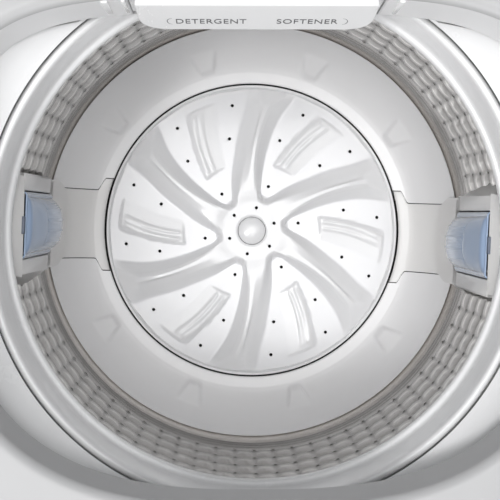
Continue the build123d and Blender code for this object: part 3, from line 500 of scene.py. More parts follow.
def padRise(angle, r):
    # the wedge pad: high along its left edge, fading into the floor on the right, with two ribs
    left = along(padLeft, r)
    right = along(padRight, r)
    s = pulsatorShape
    inner, outer = s["padInner"], s["padOuter"]
    span = ramp(r, inner - 1.2, inner + 1.2) * (1 - ramp(r, outer - 1.2, outer + 1.2))
    across = (angle - left) * r * math.pi / 180.0
    width = (right - left) * r * math.pi / 180.0
    if across < -1.5 or across > width:
        return 0.0
    wedge = ramp(across, -1.2, 1.0) * (1 - max(0.0, across) / width)
    ribs = 0.0
    for centre in s["ribSpots"]:
        ribs += math.exp(-((across - centre) / 1.25)**2)
    inside = ramp(r, inner + 2, inner + 7) * (1 - ramp(r, outer - 8.4, outer - 3.4))
    return span * (wedge * s["padHeight"] + ribs * inside * s["ribHeight"])


def padCover(angle, r):
    # how much of the pad lies here; the pad keeps the plain white, out of the windows' painted shade
    left = along(padLeft, r)
    right = along(padRight, r)
    inner, outer = pulsatorShape["padInner"], pulsatorShape["padOuter"]
    inside = ramp(r, inner - 2, inner + 2) * (1 - ramp(r, outer - 1.4, outer + 2.1))
    return inside * ramp(angle, left - 1.0, left + 0.6) * (1 - ramp(angle, right - 3.5, right + 0.5))


def pulsatorHeight(column, angle, r):
    s = pulsatorShape
    floor = s["floorHeight"] + s["floorDish"] * (1 - r / s["radius"])
    vane = along([(0, s["hubHeight"] + 1.0), (28, s["hubHeight"]), (50, s["vaneHeight"] - 1.0),
                  (90, s["vaneHeight"]), (125, s["vaneHeight"] - 1.5), (146, s["vaneHeight"] - 4.5),
                  (151, s["vaneHeight"] - 6.5), (166.5, 1.5), (168, 0.8)], r)
    # the crest falls off to each side of one narrow ridge
    nearest = min(abs(column), abs(column - 1.0))
    ridge = -s["ridgeFall"] * incline(nearest, 0.036, 0.12) * ramp(r, 34, 100) * (1 - ramp(r, 140, 160))
    depth = panelDepth(column, r)
    height = floor + (vane + ridge) * (1 - depth)
    if depth > 0.99:
        height += padRise(angle % 60.0, r)
    return height


def makePulsator():
    s = pulsatorShape
    radii = [16.5, 17.4, 18.6, 20, 22, 24, 26, 27.6, 28.8, 29.8, 30.8, 31.8]
    radii += [33 + 1.45 * i for i in range(int((166.0 - 33) / 1.45) + 1)]
    radii += [166.6, 167.4, 168.0, 168.5, 168.9, 169.3, 170.6]
    top = [(r, s["floorHeight"]) for r in radii]
    rim = [(171.6, 393.9), (172.2, 393.4), (s["radius"], 392.4), (s["radius"], 386), (171.6, 385),
           (168, 385.4), (120, 385.4), (60, 386), (22, 386), (16.5, 386)]
    bm = spun(top + rim, 6 * s["columns"])
    sector = math.tau / 6
    panels = []
    for vert in bm.verts:
        panels.append(0.0)
        x = vert.co.x / mm
        y = vert.co.y / mm - tubY
        z = vert.co.z / mm
        r = math.hypot(x, y)
        clock = math.atan2(x, y) % math.tau
        index = int(clock / sector + 1e-6)
        column = (clock - index * sector) / sector
        angle = sectorAngle(min(1.0, max(0.0, column)), min(r, 166.0))
        if r > 168.2 or z < 390.5:
            angle = lerp(angle, column * 60.0, ramp(r, 166.0, 168.4))
        turned = math.radians(index * 60.0 + angle)
        vert.co.x = r * math.sin(turned) * mm
        vert.co.y = (tubY + r * math.cos(turned)) * mm
        if abs(z - s["floorHeight"]) < 0.01:
            if r <= 168.2:
                height = pulsatorHeight(column, angle, r)
                flat = panelDepth(column, r) * (1 - ramp(r, 163, 167))
                # painted shade: the window floors take the darker panel colour, away from the vanes, the rim
                # and the pads
                panels[-1] = smooth((flat - 0.75) * 4) * (1 - padCover(angle % 60.0, r))
            else:
                # a fine groove and the raised rim
                height = along([(168.2, 391.6), (168.6, 391.1), (169.0, 392.6), (170.0, 394.0),
                                (170.8, 394.2)], r)
            # the raised collar round the cap and its bright shoulder
            if r < 36:
                height += 0.5 * (1 - ramp(r, 26.5, 35.0)) - 1.0 * (1 - ramp(r, 16.6, 19))
            vert.co.z = height * mm
    bmesh.ops.recalc_face_normals(bm, faces=bm.faces)
    piece = finish("pulsatorVanes", bm, pulsatorWhite, "agitator", ["pulsator"])
    field = piece.data.attributes.new("panel", "FLOAT", "POINT")
    field.data.foreach_set("value", panels)
    return piece


def cutters(name, spots, radius, low, high, sides=20):
    # a set of upright round cutters at x, y spots in mm, which leave walls in a black painted shade
    bm = bmesh.new()
    for x, y in spots:
        made = bmesh.ops.create_cone(bm, cap_ends=True, segments=sides, radius1=radius * mm,
                                     radius2=radius * mm, depth=(high - low) * mm)
        bmesh.ops.translate(bm, verts=made["verts"], vec=(x * mm, (tubY + y) * mm, (high + low) / 2 * mm))
    mesh = bpy.data.meshes.new(name)
    bm.to_mesh(mesh)
    bm.free()
    mesh.materials.append(paintedHoleShade)
    cutter = bpy.data.objects.new(name, mesh)
    scene.collection.objects.link(cutter)
    return cutter


def cutWith(piece, cutter, solver="EXACT"):
    # takes the cutter's shape out of the piece, then removes the cutter
    modifier = piece.modifiers.new("cut", "BOOLEAN")
    modifier.operation = "DIFFERENCE"
    modifier.object = cutter
    modifier.solver = solver
    modifier.material_mode = "TRANSFER"
    applyModifiers(piece)
    bpy.data.objects.remove(cutter, do_unlink=True)


def applyModifiers(piece):
    bpy.context.view_layer.update()
    shaped = bpy.data.meshes.new_from_object(piece.evaluated_get(bpy.context.evaluated_depsgraph_get()))
    piece.modifiers.clear()
    piece.data = shaped


def polarSpot(r, degrees):
    return (r * math.sin(math.radians(degrees)), r * math.cos(math.radians(degrees)))


# each sector's drain holes, as a radius and degrees; the last is in the hub
sectorHoles = ((56, 20.8), (112, 17.4), (112, 46.4), (150, 24.0), (150, 51.2), (27.6, 11.2))
pulsatorVanes = makePulsator()
holeSpots = [polarSpot(r, degrees + 60 * sector) for sector in range(6) for r, degrees in sectorHoles]
cutWith(pulsatorVanes, cutters("drainHoles", holeSpots, pulsatorShape["holeRadius"], 380, 420))
print("pulsator shaped")


def makeCap():
    # the domed cap over the pulsator's screw
    points = [(0, 412.4), (5, 412.1), (9.5, 411.3), (13, 410.2), (15, 408.9), (15.9, 407.4), (16.1, 404),
              (14.2, 404), (13.8, 406.6), (7, 409.4), (0, 410)]
    return finish("pulsatorCapDome", spun(points, 64), pulsatorWhite, "agitator",
                  ["pulsator_cap"])


makeCap()

# the bowl round the pulsator

bowlShape = {
    "lipRadius": 174.2,
    "lipHeight": 394.0,
    "bendRadius": 193.0,
    "bendHeight": 398.6,
    "rimRadius": 230.8,
    "rimHeight": 469.0,
    "bumpAngles": (20.5, 56.5, 128.5, 164.5, 200.5, 236.5, 308.5, 344.5),
    "bumpNose": 191.5,
    "bumpHeight": 7.5,
    "bumpRise": 0.76,
    "footSink": 4.0,        # how far the bowl lies below the feet that cover it
}
ductSides = {"right": 92.5, "left": 272.5}  # degrees clockwise from the back


def bowlHeight(r):
    # low lip, a soft bend, then a hollow slope that steepens up to the steel
    s = bowlShape
    flatEnd = s["bendRadius"] - 6
    if r <= flatEnd:
        return lerp(s["lipHeight"], s["bendHeight"] - 2.0, (r - s["lipRadius"]) / (flatEnd - s["lipRadius"]))
    return along([(flatEnd, s["bendHeight"] - 2.0), (s["bendRadius"], s["bendHeight"] + 0.6), (200, 404.5),
                  (210, 416), (218, 429.5), (225, 446.5), (229.5, 462), (s["rimRadius"], s["rimHeight"])], r)


def footHalfWidth(out):
    # half the width of a duct's foot, at a distance out from the axis
    return lerp(54.0, 40.0, ramp(out, 183.0, 187.5))


def footReach(out, x):
    # a foot's rows follow the lip's arc at first and straighten towards the column
    return lerp(math.sqrt(out * out - x * x), out, ramp(out, 183, 202))


def bumpLift(degrees, r):
    # flat topped tongues that stand out of the slope and narrow to a nose by the bend
    s = bowlShape
    if not s["bumpNose"] - 2 < r < 220:
        return 0.0
    top = bowlHeight(s["bumpNose"]) + s["bumpHeight"] + (r - s["bumpNose"]) * s["bumpRise"]
    for centre in s["bumpAngles"]:
        across = (degrees - centre + 180) % 360 - 180
        side = abs(across) * r * math.pi / 180
        half = 8.0 + 0.38 * (r - s["bumpNose"])
        if side < half + 1:
            edge = 1 - ramp(side, half - 3.5, half + 1)
            return max(0.0, top - bowlHeight(r)) * edge * ramp(r, s["bumpNose"] - 2, s["bumpNose"] + 4)
    return 0.0


def makeBowl():
    s = bowlShape
    columns = 720
    footSpan = 13.0  # degrees each side of a duct whose columns lie under the foot
    footReachSpan = 28.0  # degrees each side within which the columns are shifted
    radii = [s["lipRadius"] + 0.8, 176, 178, 180, 182, 183, 184, 185, 186, 187, 188.2, 189.5, 191, 192.2,
             193.4, 194.6]
    radii += [196 + 1.3 * i for i in range(int((s["rimRadius"] - 196) / 1.3) + 1)]
    radii.append(s["rimRadius"])
    top = [(s["lipRadius"], 392.6), (s["lipRadius"] + 0.15, 393.4)]
    top += [(r, bowlHeight(r)) for r in radii]
    back = [(s["rimRadius"] + 0.6, 468.6), (231.5, 462), (228, 450), (221, 428), (210, 408), (196, 392),
            (182, 377), (120, 375), (19, 375), (19, 378), (110, 378), (170, 378), (s["lipRadius"], 380)]
    bm = spun(top + back, columns)
    for vert in bm.verts:
        x = vert.co.x / mm
        y = vert.co.y / mm - tubY
        r = math.hypot(x, y)
        z = vert.co.z / mm
        if r < s["lipRadius"] + 0.1 or abs(z - bowlHeight(r)) > 0.8:
            continue
        clock = math.degrees(math.atan2(x, y)) % 360
        lift = bumpLift(clock, r)
        for centre in ductSides.values():
            across = (clock - centre + 180) % 360 - 180
            if abs(across) > footReachSpan:
                continue
            # draws the grid's columns onto the foot's edge, then sinks what the foot covers
            sign = 1 if across > 0 else -1
            size = abs(across)
            out = lerp(r, r * math.cos(math.radians(size)), ramp(r, 183, 202))
            edge = math.degrees(math.asin(min(0.9, (footHalfWidth(out) + 0.8) / r)))
            wall = math.degrees(math.asin(min(0.9, (footHalfWidth(out) + 1.0) / r)))
            if size <= footSpan + 0.01:
                moved = size / footSpan * edge
                lift = -s["footSink"]
            elif size <= footSpan + 0.51:
                moved = wall
                lift = 0.0
            else:
                moved = lerp(wall, footReachSpan, (size - footSpan - 0.5) / (footReachSpan - footSpan - 0.5))
            clock = centre + sign * moved
        x, y = polarSpot(r, clock)
        vert.co = Vector((x * mm, (tubY + y) * mm, (z + lift) * mm))
    bmesh.ops.recalc_face_normals(bm, faces=bm.faces)
    # painted shade: the black hole material under the pulsator and in the narrow grooves beside the feet
    for face in bm.faces:
        spot = face.calc_center_median() / mm
        r = math.hypot(spot.x, spot.y - tubY)
        sunk = min(v.co.z / mm - bowlHeight(r) for v in face.verts) < -3.0
        if r < 173 or (sunk and r < 222):
            face.material_index = 1
    piece = finish("basketBowl", bm, bowlWhite, "basket", ["basket_base"])
    piece.data.materials.append(paintedHoleShade)
    sharpen(piece, 60)
    return piece


makeBowl()
print("bowl shaped")


def turnTo(bm, degrees):
    # turns work built with its outward way along +Y round to a duct's place, in mm about the axis
    bmesh.ops.scale(bm, vec=(mm, mm, mm), verts=bm.verts)
    turn = Matrix.Rotation(-math.radians(degrees), 3, "Z")
    bmesh.ops.rotate(bm, cent=(0, 0, 0), matrix=turn, verts=bm.verts)
    bmesh.ops.translate(bm, vec=(0, tubY * mm, 0), verts=bm.verts)


ductShape = {
    "face": 217.0,
    "columnHalf": 47.0,
    "columnTop": 720.5,
    "topLean": 6.5,         # how far the top bar leans back
    "footRise": 0.25,
    "windowHalf": 32.2,
    "windowLow": 546.5,
    "windowHigh": 704.0,
}


def makeDuctFoot(side, degrees):
    # the foot and the column's low face as one sheet: rows run out along the bowl, then up the face
    s = ductShape
    lip = [(174.9, 392.4), (175.3, 393.9)]
    alongBowl = (177, 180, 182, 183, 184, 185, 186, 187, 188.5, 190, 191.5, 193, 194.5, 196, 199, 202, 205,
                 208)
    rows = lip + [(r, None) for r in alongBowl]
    lastBowlRow = len(rows) - 1
    rows += [(210.6, 417.6), (212.9, 421.8), (214.7, 427.0), (215.9, 433.5), (216.6, 442), (s["face"], 455),
             (s["face"], 475), (s["face"], 500), (s["face"], 530), (s["face"], s["windowLow"])]
    half = (0.1, 0.3, 0.5, 0.66, 0.8, 0.95, 0.985, 1)
    across = [-x for x in reversed(half)] + list(half)
    bm = bmesh.new()
    grid = bmesh.ops.create_grid(bm, x_segments=len(across) - 1, y_segments=len(rows) - 1, size=1.0)["verts"]
    for vert in grid:
        i = round((vert.co.x + 1) / 2 * (len(across) - 1))
        j = round((vert.co.y + 1) / 2 * (len(rows) - 1))
        out, z = rows[j]
        width = footHalfWidth(out)
        if j > lastBowlRow:
            width = lerp(40.0, s["columnHalf"], ramp(z or 0, 438, 468))
        x = across[i] * width
        if z is None:
            reach = footReach(out, x)
            z = bowlHeight(math.hypot(x, reach)) + s["footRise"]
            out = reach
        elif j < len(lip):
            out = footReach(out, x)
        elif z < 440:
            z = max(z, bowlHeight(math.hypot(x, out)) + s["footRise"])
        edge = abs(across[i])
        drop = 0.5 * ramp(edge, 0.97, 1.0)
        vert.co = Vector((x, out + (drop if out >= s["face"] else 0), z - (drop if out < s["face"] else 0)))
    # sides folded down into the bowl and back to the steel
    for sign in (-1, 1):
        border = [e for e in bm.edges if e.is_boundary
                  and all(abs(abs(v.co.x)) > 38 and v.co.x * sign > 0 for v in e.verts)
                  and abs(e.verts[0].co.y - e.verts[1].co.y) + abs(e.verts[0].co.z - e.verts[1].co.z) > 0.05
                  and abs(e.verts[0].co.x - e.verts[1].co.x) < 12]
        fold = bmesh.ops.extrude_edge_only(bm, edges=border)["geom"]
        for vert in [g for g in fold if isinstance(g, bmesh.types.BMVert)]:
            steep = ramp(vert.co.y, 206, 217)
            vert.co.z -= 3.4 * (1 - steep)
            vert.co.y += 15.0 * steep
            vert.co.y = min(vert.co.y, math.sqrt(231.2**2 - vert.co.x**2))
    turnTo(bm, degrees)
    bmesh.ops.recalc_face_normals(bm, faces=bm.faces)
    foot = finish("ductFoot" + side, bm, ductGrey, "basket", ["duct_cover_" + side.lower()])
    sharpen(foot, 50)


def makeDuctColumn(side, degrees):
    # the column above the foot: a frame of four bars round the filter's window
    s = ductShape
    bm = bmesh.new()
    bars = [(-s["columnHalf"], -s["windowHalf"], s["windowLow"], s["windowHigh"]),
            (s["windowHalf"], s["columnHalf"], s["windowLow"], s["windowHigh"]),
            (-s["columnHalf"], s["columnHalf"], s["windowHigh"], s["columnTop"]),
            (-s["columnHalf"], s["columnHalf"], s["windowLow"] - 20, s["windowLow"])]
    for x0, x1, z0, z1 in bars:
        made = bmesh.ops.create_cube(bm, size=1.0)["verts"]
        for vert in made:
            x = lerp(x0, x1, vert.co.x + 0.5)
            z = lerp(z0, z1, vert.co.z + 0.5)
            back = math.sqrt(231.4**2 - x * x)
            front = s["face"] + (s["topLean"] if z > s["windowHigh"] + 1 else 0.0)
            vert.co = Vector((x, front if vert.co.y < 0 else back, z))
    bmesh.ops.remove_doubles(bm, verts=bm.verts, dist=0.01)
    inner = [f for f in bm.faces if all(any(g is not f and set(g.verts) == set(f.verts) for g in v.link_faces)
                                        for v in f.verts)]
    bmesh.ops.delete(bm, geom=inner, context="FACES_ONLY")
    sheets = [e for e in bm.edges if e.is_boundary]
    bmesh.ops.holes_fill(bm, edges=sheets, sides=4)
    turnTo(bm, degrees)
    bmesh.ops.recalc_face_normals(bm, faces=bm.faces)
    column = finish("ductColumn" + side, bm, ductGrey, "basket")
    bevel = column.modifiers.new("edges", "BEVEL")
    bevel.width = 0.0015
    bevel.segments = 3
    bevel.limit_method = "ANGLE"
    bevel.angle_limit = math.radians(40)


for sideName, degrees in ductSides.items():
    makeDuctFoot(sideName.capitalize(), degrees)
    makeDuctColumn(sideName.capitalize(), degrees)
print("duct covers shaped")

# lint filters: a glossy cap over a barrel bellied basket with upright ribs

filterShape = {
    "half": 31.0,
    "low": 548.0,
    "high": 702.0,
    "back": 216.0,
    "capSplit": 656.0,
}


def filterDepth(u, z):
    # how far the cap and belly stand in from the frame, across (u) and up (z)
    s = filterShape
    split = s["capSplit"]
    upright = along([(s["low"], 0.0), (s["low"] + 4, 3.0), (557, 8.0), (572, 14.5), (590, 17.8), (610, 18.4),
                     (635, 16.6), (split - 0.9, 13.2), (split - 0.5, 11.6)], z)
    if z >= split:
        upright = along([(split, 11.6), (split + 0.5, 13.4), (664, 12.4), (676, 9.6), (686, 7.0), (692, 5.6),
                         (695.4, 4.8), (697.4, 3.7), (698.8, 2.0), (699.8, 0.0)], z)
    barrel = max(0.0, 1 - (abs(u) / 0.86)**2.6)**0.6
    ribs = 0.0
    if 556 < z < split - 1:
        ribs = 0.8 * math.exp(-(((u * 2.9) % 1.0 - 0.5) / 0.08)**2) * ramp(barrel, 0.2, 0.5)
        ribs += 0.22 * math.cos(u * 31 * math.pi) * ramp(barrel, 0.2, 0.5)
    return upright * barrel + ribs + 1.6 * ramp(0.97 - abs(u), 0.0, 0.03)


def makeFilterShell(side, degrees):
    s = filterShape
    bm = bmesh.new()
    columns = 96
    split = s["capSplit"]
    # rows crowd together at the parting line and the cap's upper edge
    rows = [s["low"] + 2.0 * i for i in range(int((split - 2 - s["low"]) / 2.0) + 1)]
    rows += [split - 1.4, split - 0.9, split - 0.5, split, split + 0.5, split + 1.2]
    rows += [split + 3 + 2.6 * i for i in range(13)]
    rows += [692.5, 694, 695.4, 696.5, 697.4, 698.1, 698.8, 699.3, 699.8, s["high"]]
    grid = bmesh.ops.create_grid(bm, x_segments=columns, y_segments=len(rows) - 1, size=1.0)["verts"]
    for vert in grid:
        u = vert.co.x
        z = rows[round((vert.co.y + 1) / 2 * (len(rows) - 1))]
        vert.co = Vector((u * s["half"], s["back"] - filterDepth(u, z), z))
    turnTo(bm, degrees)
    bmesh.ops.recalc_face_normals(bm, faces=bm.faces)
    middle = Vector((0, tubY * mm, 0.62))
    if sum((f.normal.dot(middle - f.calc_center_median()) for f in bm.faces)) < 0:
        bmesh.ops.reverse_faces(bm, faces=bm.faces)
    shell = finish("filterShell" + side, bm, blueMoulding, "filter_" + side.lower(),
                   ["filter_frame_" + side.lower(), "filter_mesh_" + side.lower()])
    wall = shell.modifiers.new("wall", "SOLIDIFY")
    wall.thickness = 0.0014
    wall.offset = -1.0


def makeFilterTab(side, degrees):
    # the small thumb tab that locks the filter at its top
    s = filterShape
    bm = bmesh.new()
    for vert in bmesh.ops.create_cube(bm, size=1.0)["verts"]:
        vert.co = Vector((vert.co.x * 16.4, s["back"] + 1.0 + vert.co.y * 3.6, 703.2 + vert.co.z * 6.4))
    bmesh.ops.bevel(bm, geom=bm.edges[:], offset=0.7, segments=3, profile=0.5, affect="EDGES", material=-1)
    turnTo(bm, degrees)
    finish("filterTab" + side, bm, tabBlue, "filter_" + side.lower())


tabBlue = plasticLook("tabBlue", (0.09, 0.11, 0.16), (0.08, 0.10, 0.14), roughness=0.4)
for sideName, degrees in ductSides.items():
    makeFilterShell(sideName.capitalize(), degrees)
    makeFilterTab(sideName.capitalize(), degrees)
print("lint filters shaped")

# pressed steel wall

steelShape = {
    "radius": 232.0,
    "cells": 72,
    "rowPitch": 37.0,
    "firstRow": 555.5,      # lower edge of the lowest pillow row
    "rows": 4,
    "pillow": 2.5,
}
# where the grid's columns and rings fall inside one pillow, closer together by its edges
pillowColumns = (0.0, 0.06, 0.15, 0.28, 0.42, 0.58, 0.72, 0.85, 0.94)
pillowRings = (0.0, 0.07, 0.13, 0.21, 0.32, 0.42, 0.49, 0.56, 0.63, 0.72, 0.81, 0.88, 0.94)


def pillowRelief(u, v):
    # one pillow across (u) and up (v) its cell, both 0 to 1: a soft dome with an oblong foot
    x = abs(u - 0.5) * 2
    y = abs(v - 0.5) * 2
    out = (x**3.2 + y**3.2)**(1 / 3.2)
    return max(0.0, 1 - out**2.1)**0.85


def pillowShadeAndHighlight(u, v):
    # how bright the steel is painted: painted shade in the seams, with one thin painted highlight along each
    # crest
    relief = pillowRelief(u, v)
    crest = math.exp(-((v - 0.56) / 0.055)**2) * ramp(relief, 0.35, 0.8)
    return 0.10 + 0.22 * ramp(relief, 0.0, 0.6) + 0.68 * crest


def makeSteelWall():
    s = steelShape
    perCell = len(pillowColumns)
    top = s["firstRow"] + s["rows"] * s["rowPitch"]
    plain = [(452, 0), (468, 0), (472, 2.0), (480, 3.4), (494, 3.4), (505, 2.4), (512, 0.4), (516, -0.4),
             (519, -1.9), (522.5, -0.2), (525, -0.1), (528, -1.7), (531, 0), (536, 0), (539, -1.2), (542, 0),
             (552.5, 0)]
    points = [(s["radius"] + out, z) for z, out in plain]
    for row in range(s["rows"]):
        points += [(s["radius"], s["firstRow"] + (row + v) * s["rowPitch"]) for v in pillowRings]
    points += [(s["radius"], top), (s["radius"], 719.6)]
    bm = spun(points, s["cells"] * perCell, closed=False)
    holes = []
    # each vertex keeps how much painted shade and painted highlight it takes
    field = bm.verts.layers.float.new("shadeAndHighlight")
    for vert in bm.verts:
        vert[field] = 0.30
        x = vert.co.x / mm
        y = vert.co.y / mm - tubY
        z = vert.co.z / mm
        r = math.hypot(x, y)
        column = round((math.atan2(x, y) % math.tau) / math.tau * s["cells"] * perCell)
        u = pillowColumns[column % perCell]
        turned = (column // perCell + u) / s["cells"] * math.tau
        if s["firstRow"] - 0.1 < z < top + 0.1:
            row = (z - s["firstRow"]) / s["rowPitch"]
            r -= pillowRelief(u, row % 1.0) * s["pillow"]
            vert[field] = pillowShadeAndHighlight(u, row % 1.0)
            if u == 0 and abs(row - round(row)) < 0.01:
                holes.append(vert)
        vert.co.x = r * math.sin(turned) * mm
        vert.co.y = (tubY + r * math.cos(turned)) * mm
    bmesh.ops.delete(bm, geom=holes, context="VERTS")
    bmesh.ops.recalc_face_normals(bm, faces=bm.faces)
    piece = finish("pressedDrum", bm, steelMaterial, "basket", ["basket_wall"])
    wall = piece.modifiers.new("sheet", "SOLIDIFY")
    wall.thickness = 0.0006
    wall.offset = -1.0


makeSteelWall()
print("steel wall pressed")

# balance ring


def makeBalanceRing():
    outline = rounded([
        (224.2, 719.8, 2.0), (223.2, 724.5, 3.0), (224.0, 729.4, 3.0), (228.9, 730.6, 3.0), (230.2, 737.0, 4.0),
        (230.8, 768.0, 5.0), (232.0, 776.9, 4.5), (237.4, 777.1, 2.6), (239.7, 774.6, 1.4),
        (240.0, 720.0, 1.0)], 6)
    bm = spun([(p.x, p.y) for p in outline], 256)
    return finish("ringMoulding", bm, whiteMoulding, "basket", ["balance_ring"])


makeBalanceRing()
print("balance ring turned")

# top cover: funnel shelf, soft rimmed well, flat top and skirt

coverShape = {
    "side": 250.0,
    "back": 190.0,
    "front": 211.0,
    "backPower": 4.0,
    "frontPower": 2.7,
    "rimReach": 9.0,
    "halfWidth": 290.0,
    "frontY": -300.0,
    "backY": 300.0,
    "corner": 20.0,
    "edge": 5.0,
    "wall": 2.5,
    "pocketLow": (-105.2, 120.0, 812.0),
    "pocketHigh": (98.8, 283.0, 875.2),
}
funnelCurve = [(238, 785), (241.5, 787.4), (246, 790.8), (254, 798), (262, 806), (270, 814.6), (280, 825.2),
               (290, 835.6), (300, 846)]


def wellEdge(theta, extra=0.0):
    # the mouth's outline at an angle from +X, with x and y in mm about the axis
    s = coverShape
    c = math.cos(theta)
    n = math.sin(theta)
    power = s["backPower"] if n > 0 else s["frontPower"]
    depth = (s["back"] if n > 0 else s["front"]) + extra
    side = s["side"] + extra
    r = (abs(c / side)**power + abs(n / depth)**power)**(-1 / power)
    return r * c, r * n


def shelfHeight(r):
    return along(funnelCurve, r)


def makeFunnelShelf():
    # the dished shelf, trimmed just outside the well's wall
    steps = 360
    rings = 22
    bm = bmesh.new()
    loops = []
    for skin in (0, 1):
        for k in (range(rings + 1) if skin == 0 else range(rings, -1, -1)):
            t = k / rings
            loop = []
            for i in range(steps):
                theta = math.tau * i / steps
                x, y = wellEdge(theta, 1.2)
                reach = min(max(math.hypot(x, y), 262.0 if y < 0 else 240.0), 299.0)
                r = lerp(238.0, reach, t**1.3)
                z = shelfHeight(r) - (1.6 if skin else 0.0)
                if skin and k == 0:
                    r += 0.8
                spot = (r * math.cos(theta) * mm, (tubY + r * math.sin(theta)) * mm, z * mm)
                loop.append(bm.verts.new(spot))
            loops.append(loop)
    joinLoops(bm, loops, closed=True)
    bmesh.ops.recalc_face_normals(bm, faces=bm.faces)
    return finish("funnelShelf", bm, whiteMoulding, "cabinet", ["top_cover"])


def joinLoops(bm, loops, closed=False):
    # skins a stack of loops that have the same number of points
    pairs = list(zip(loops, loops[1:]))
    if closed:
        pairs.append((loops[-1], loops[0]))
    for a, b in pairs:
        n = len(a)
        for i in range(n):
            j = (i + 1) % n
            bm.faces.new((a[i], a[j], b[j], b[i]))


def rimEdge(theta, inset=0.0):
    # the cover's outer rounded rectangle along a ray from the axis
    s = coverShape
    c = math.cos(theta)
    n = math.sin(theta)
    halfX = s["halfWidth"] - inset
    yLow = s["frontY"] - tubY + inset
    yHigh = s["backY"] - tubY - inset
    corner = s["corner"] - inset * 0.5
    tiny = 1e-9
    reach = min(halfX / max(abs(c), tiny), (yHigh if n > 0 else -yLow) / max(abs(n), tiny))
    x = c * reach
    y = n * reach
    cx = halfX - corner
    cy = (yHigh - corner) if n > 0 else (yLow + corner)
    if abs(x) > cx and (y > cy if n > 0 else y < cy):
        # meets the corner's arc
        ox = cx * (1 if c > 0 else -1)
        b = c * ox + n * cy
        inside = b * b - (ox * ox + cy * cy - corner * corner)
        reach = b + math.sqrt(max(0.0, inside))
        x = c * reach
        y = n * reach
    return x, y


def coverAngles(steps):
    # ray angles spread evenly, with extra at the outer corners
    angles = [math.tau * i / steps for i in range(steps)]
    for x, y in ((1, 1), (-1, 1), (-1, -1), (1, -1)):
        cx = (coverShape["halfWidth"] - 8) * x
        cy = ((coverShape["backY"] - tubY) if y > 0 else -(coverShape["frontY"] - tubY)) * y - 8 * y
        middle = math.atan2(cy, cx) % math.tau
        angles += [(middle + d * 0.0055) % math.tau for d in range(-6, 7)]
    angles = sorted(angles)
    return [a for i, a in enumerate(angles) if i == 0 or a - angles[i - 1] > 0.0012]


def makeCoverShell():
    s = coverShape
    angles = coverAngles(420)
    bm = bmesh.new()
    profile = []
    # up the well's wall, over the soft rim, across the top, over the outer edge, down the skirt
    for t in (0.0, 0.12, 0.3, 0.5, 0.7, 0.86, 1.0):
        profile.append(("wall", t))
    for k in range(1, 9):
        profile.append(("rim", math.pi / 2 * k / 8))
    for t in (0.2, 0.5, 0.8):
        profile.append(("top", t))
    for k in range(0, 7):
        profile.append(("edge", math.pi / 2 * k / 6))
    profile.append(("skirt", 1.0))
    loops = []
    wallPaintedLight = []
    for kind, t in profile:
        loop = []
        for theta in angles:
            wx, wy = wellEdge(theta)
            # painted light: the well's wall is painted lighter towards the back
            wallPaintedLight.append(ramp(wy, -120, 120) if kind == "wall" else 0.0)
            here = math.hypot(wx, wy)
            low = max(shelfHeight(min(here, 299.0)), 812.0 if wy > 0 else 830.0) - 0.6
            rimZ = 880.0 - s["rimReach"]
            if kind == "wall":
                draft = 2.2 * (1 - t)
                scale = (here - draft) / here
                x, y, z = wx * scale, wy * scale, lerp(low, rimZ, t)
            elif kind == "rim":
                out = s["rimReach"] * (1 - math.cos(t))
                x, y = wellEdge(theta, out)
                z = rimZ + s["rimReach"] * math.sin(t)
            elif kind == "top":
                ax, ay = wellEdge(theta, s["rimReach"])
                bx, by = rimEdge(theta, s["edge"])
                x, y, z = lerp(ax, bx, t), lerp(ay, by, t), 880.0
            elif kind == "edge":
                x, y = rimEdge(theta, s["edge"] * (1 - math.sin(t)))
                z = 880.0 - s["edge"] * (1 - math.cos(t))
            else:
                x, y = rimEdge(theta)
                z = 850.0
            loop.append(bm.verts.new((x * mm, (tubY + y) * mm, z * mm)))
        loops.append(loop)
    joinLoops(bm, loops)
    for face in bm.faces:
        face.normal_update()
    flatTop = max(bm.faces, key=lambda f: f.calc_center_median().z)
    if flatTop.normal.z < 0:
        bmesh.ops.reverse_faces(bm, faces=bm.faces)
    shell = finish("coverShell", bm, coverWhiteLitAndShaded, "cabinet")
    shell.data.attributes.new("panel", "FLOAT", "POINT").data.foreach_set("value", wallPaintedLight)
    wall = shell.modifiers.new("wall", "SOLIDIFY")
    wall.thickness = s["wall"] * mm
    wall.offset = -1.0
    # the drawer's pocket through the back of the well
    bm = bmesh.new()
    blockPiece(bm, s["pocketLow"], s["pocketHigh"])
    mesh = bpy.data.meshes.new("pocket")
    bm.to_mesh(mesh)
    bm.free()
    cutter = bpy.data.objects.new("pocket", mesh)
    scene.collection.objects.link(cutter)
    cutWith(shell, cutter)
    sharpen(shell, 50)
    return shell


makeFunnelShelf()
makeCoverShell()


def makeWellTrim():
    # guide ridges beside the drawer and the ears that hold the lid's pins
    bm = bmesh.new()
    for x0, x1 in ((-126.5, -120.8), (-110.5, -107.0), (109.5, 114.5)):
        y = tubY + wellEdge(math.atan2(190, (x0 + x1) / 2))[1]
        blockPiece(bm, (x0, y - 2.0, 816), (x1, y + 1.0, 871), 1.2)
    finish("wellRidges", bm, whiteMoulding, "cabinet")
    bm = bmesh.new()
    for side in (-1, 1):
        loops = []
        for x in (266, 267, 277, 278):
            r = 11.0 - (1.0 if x in (266, 278) else 0.0)
            loop = []
            for k in range(25):
                a = math.pi * k / 24
                loop.append((186 + r * math.cos(a), 896 + r * math.sin(a)))
            loop += [(186 - r, 879.6), (186 + r, 879.6)]
            loops.append([bm.verts.new((side * x * mm, y * mm, z * mm)) for y, z in loop])
        joinLoops(bm, loops)
        bm.faces.new(loops[0])
        bm.faces.new(loops[-1])
    bmesh.ops.recalc_face_normals(bm, faces=bm.faces)
    ears = finish("hingeEars", bm, whiteMoulding, "cabinet")
    sharpen(ears, 50)


makeWellTrim()
print("top cover shaped")

# dispenser drawer with its leaning face and printed words

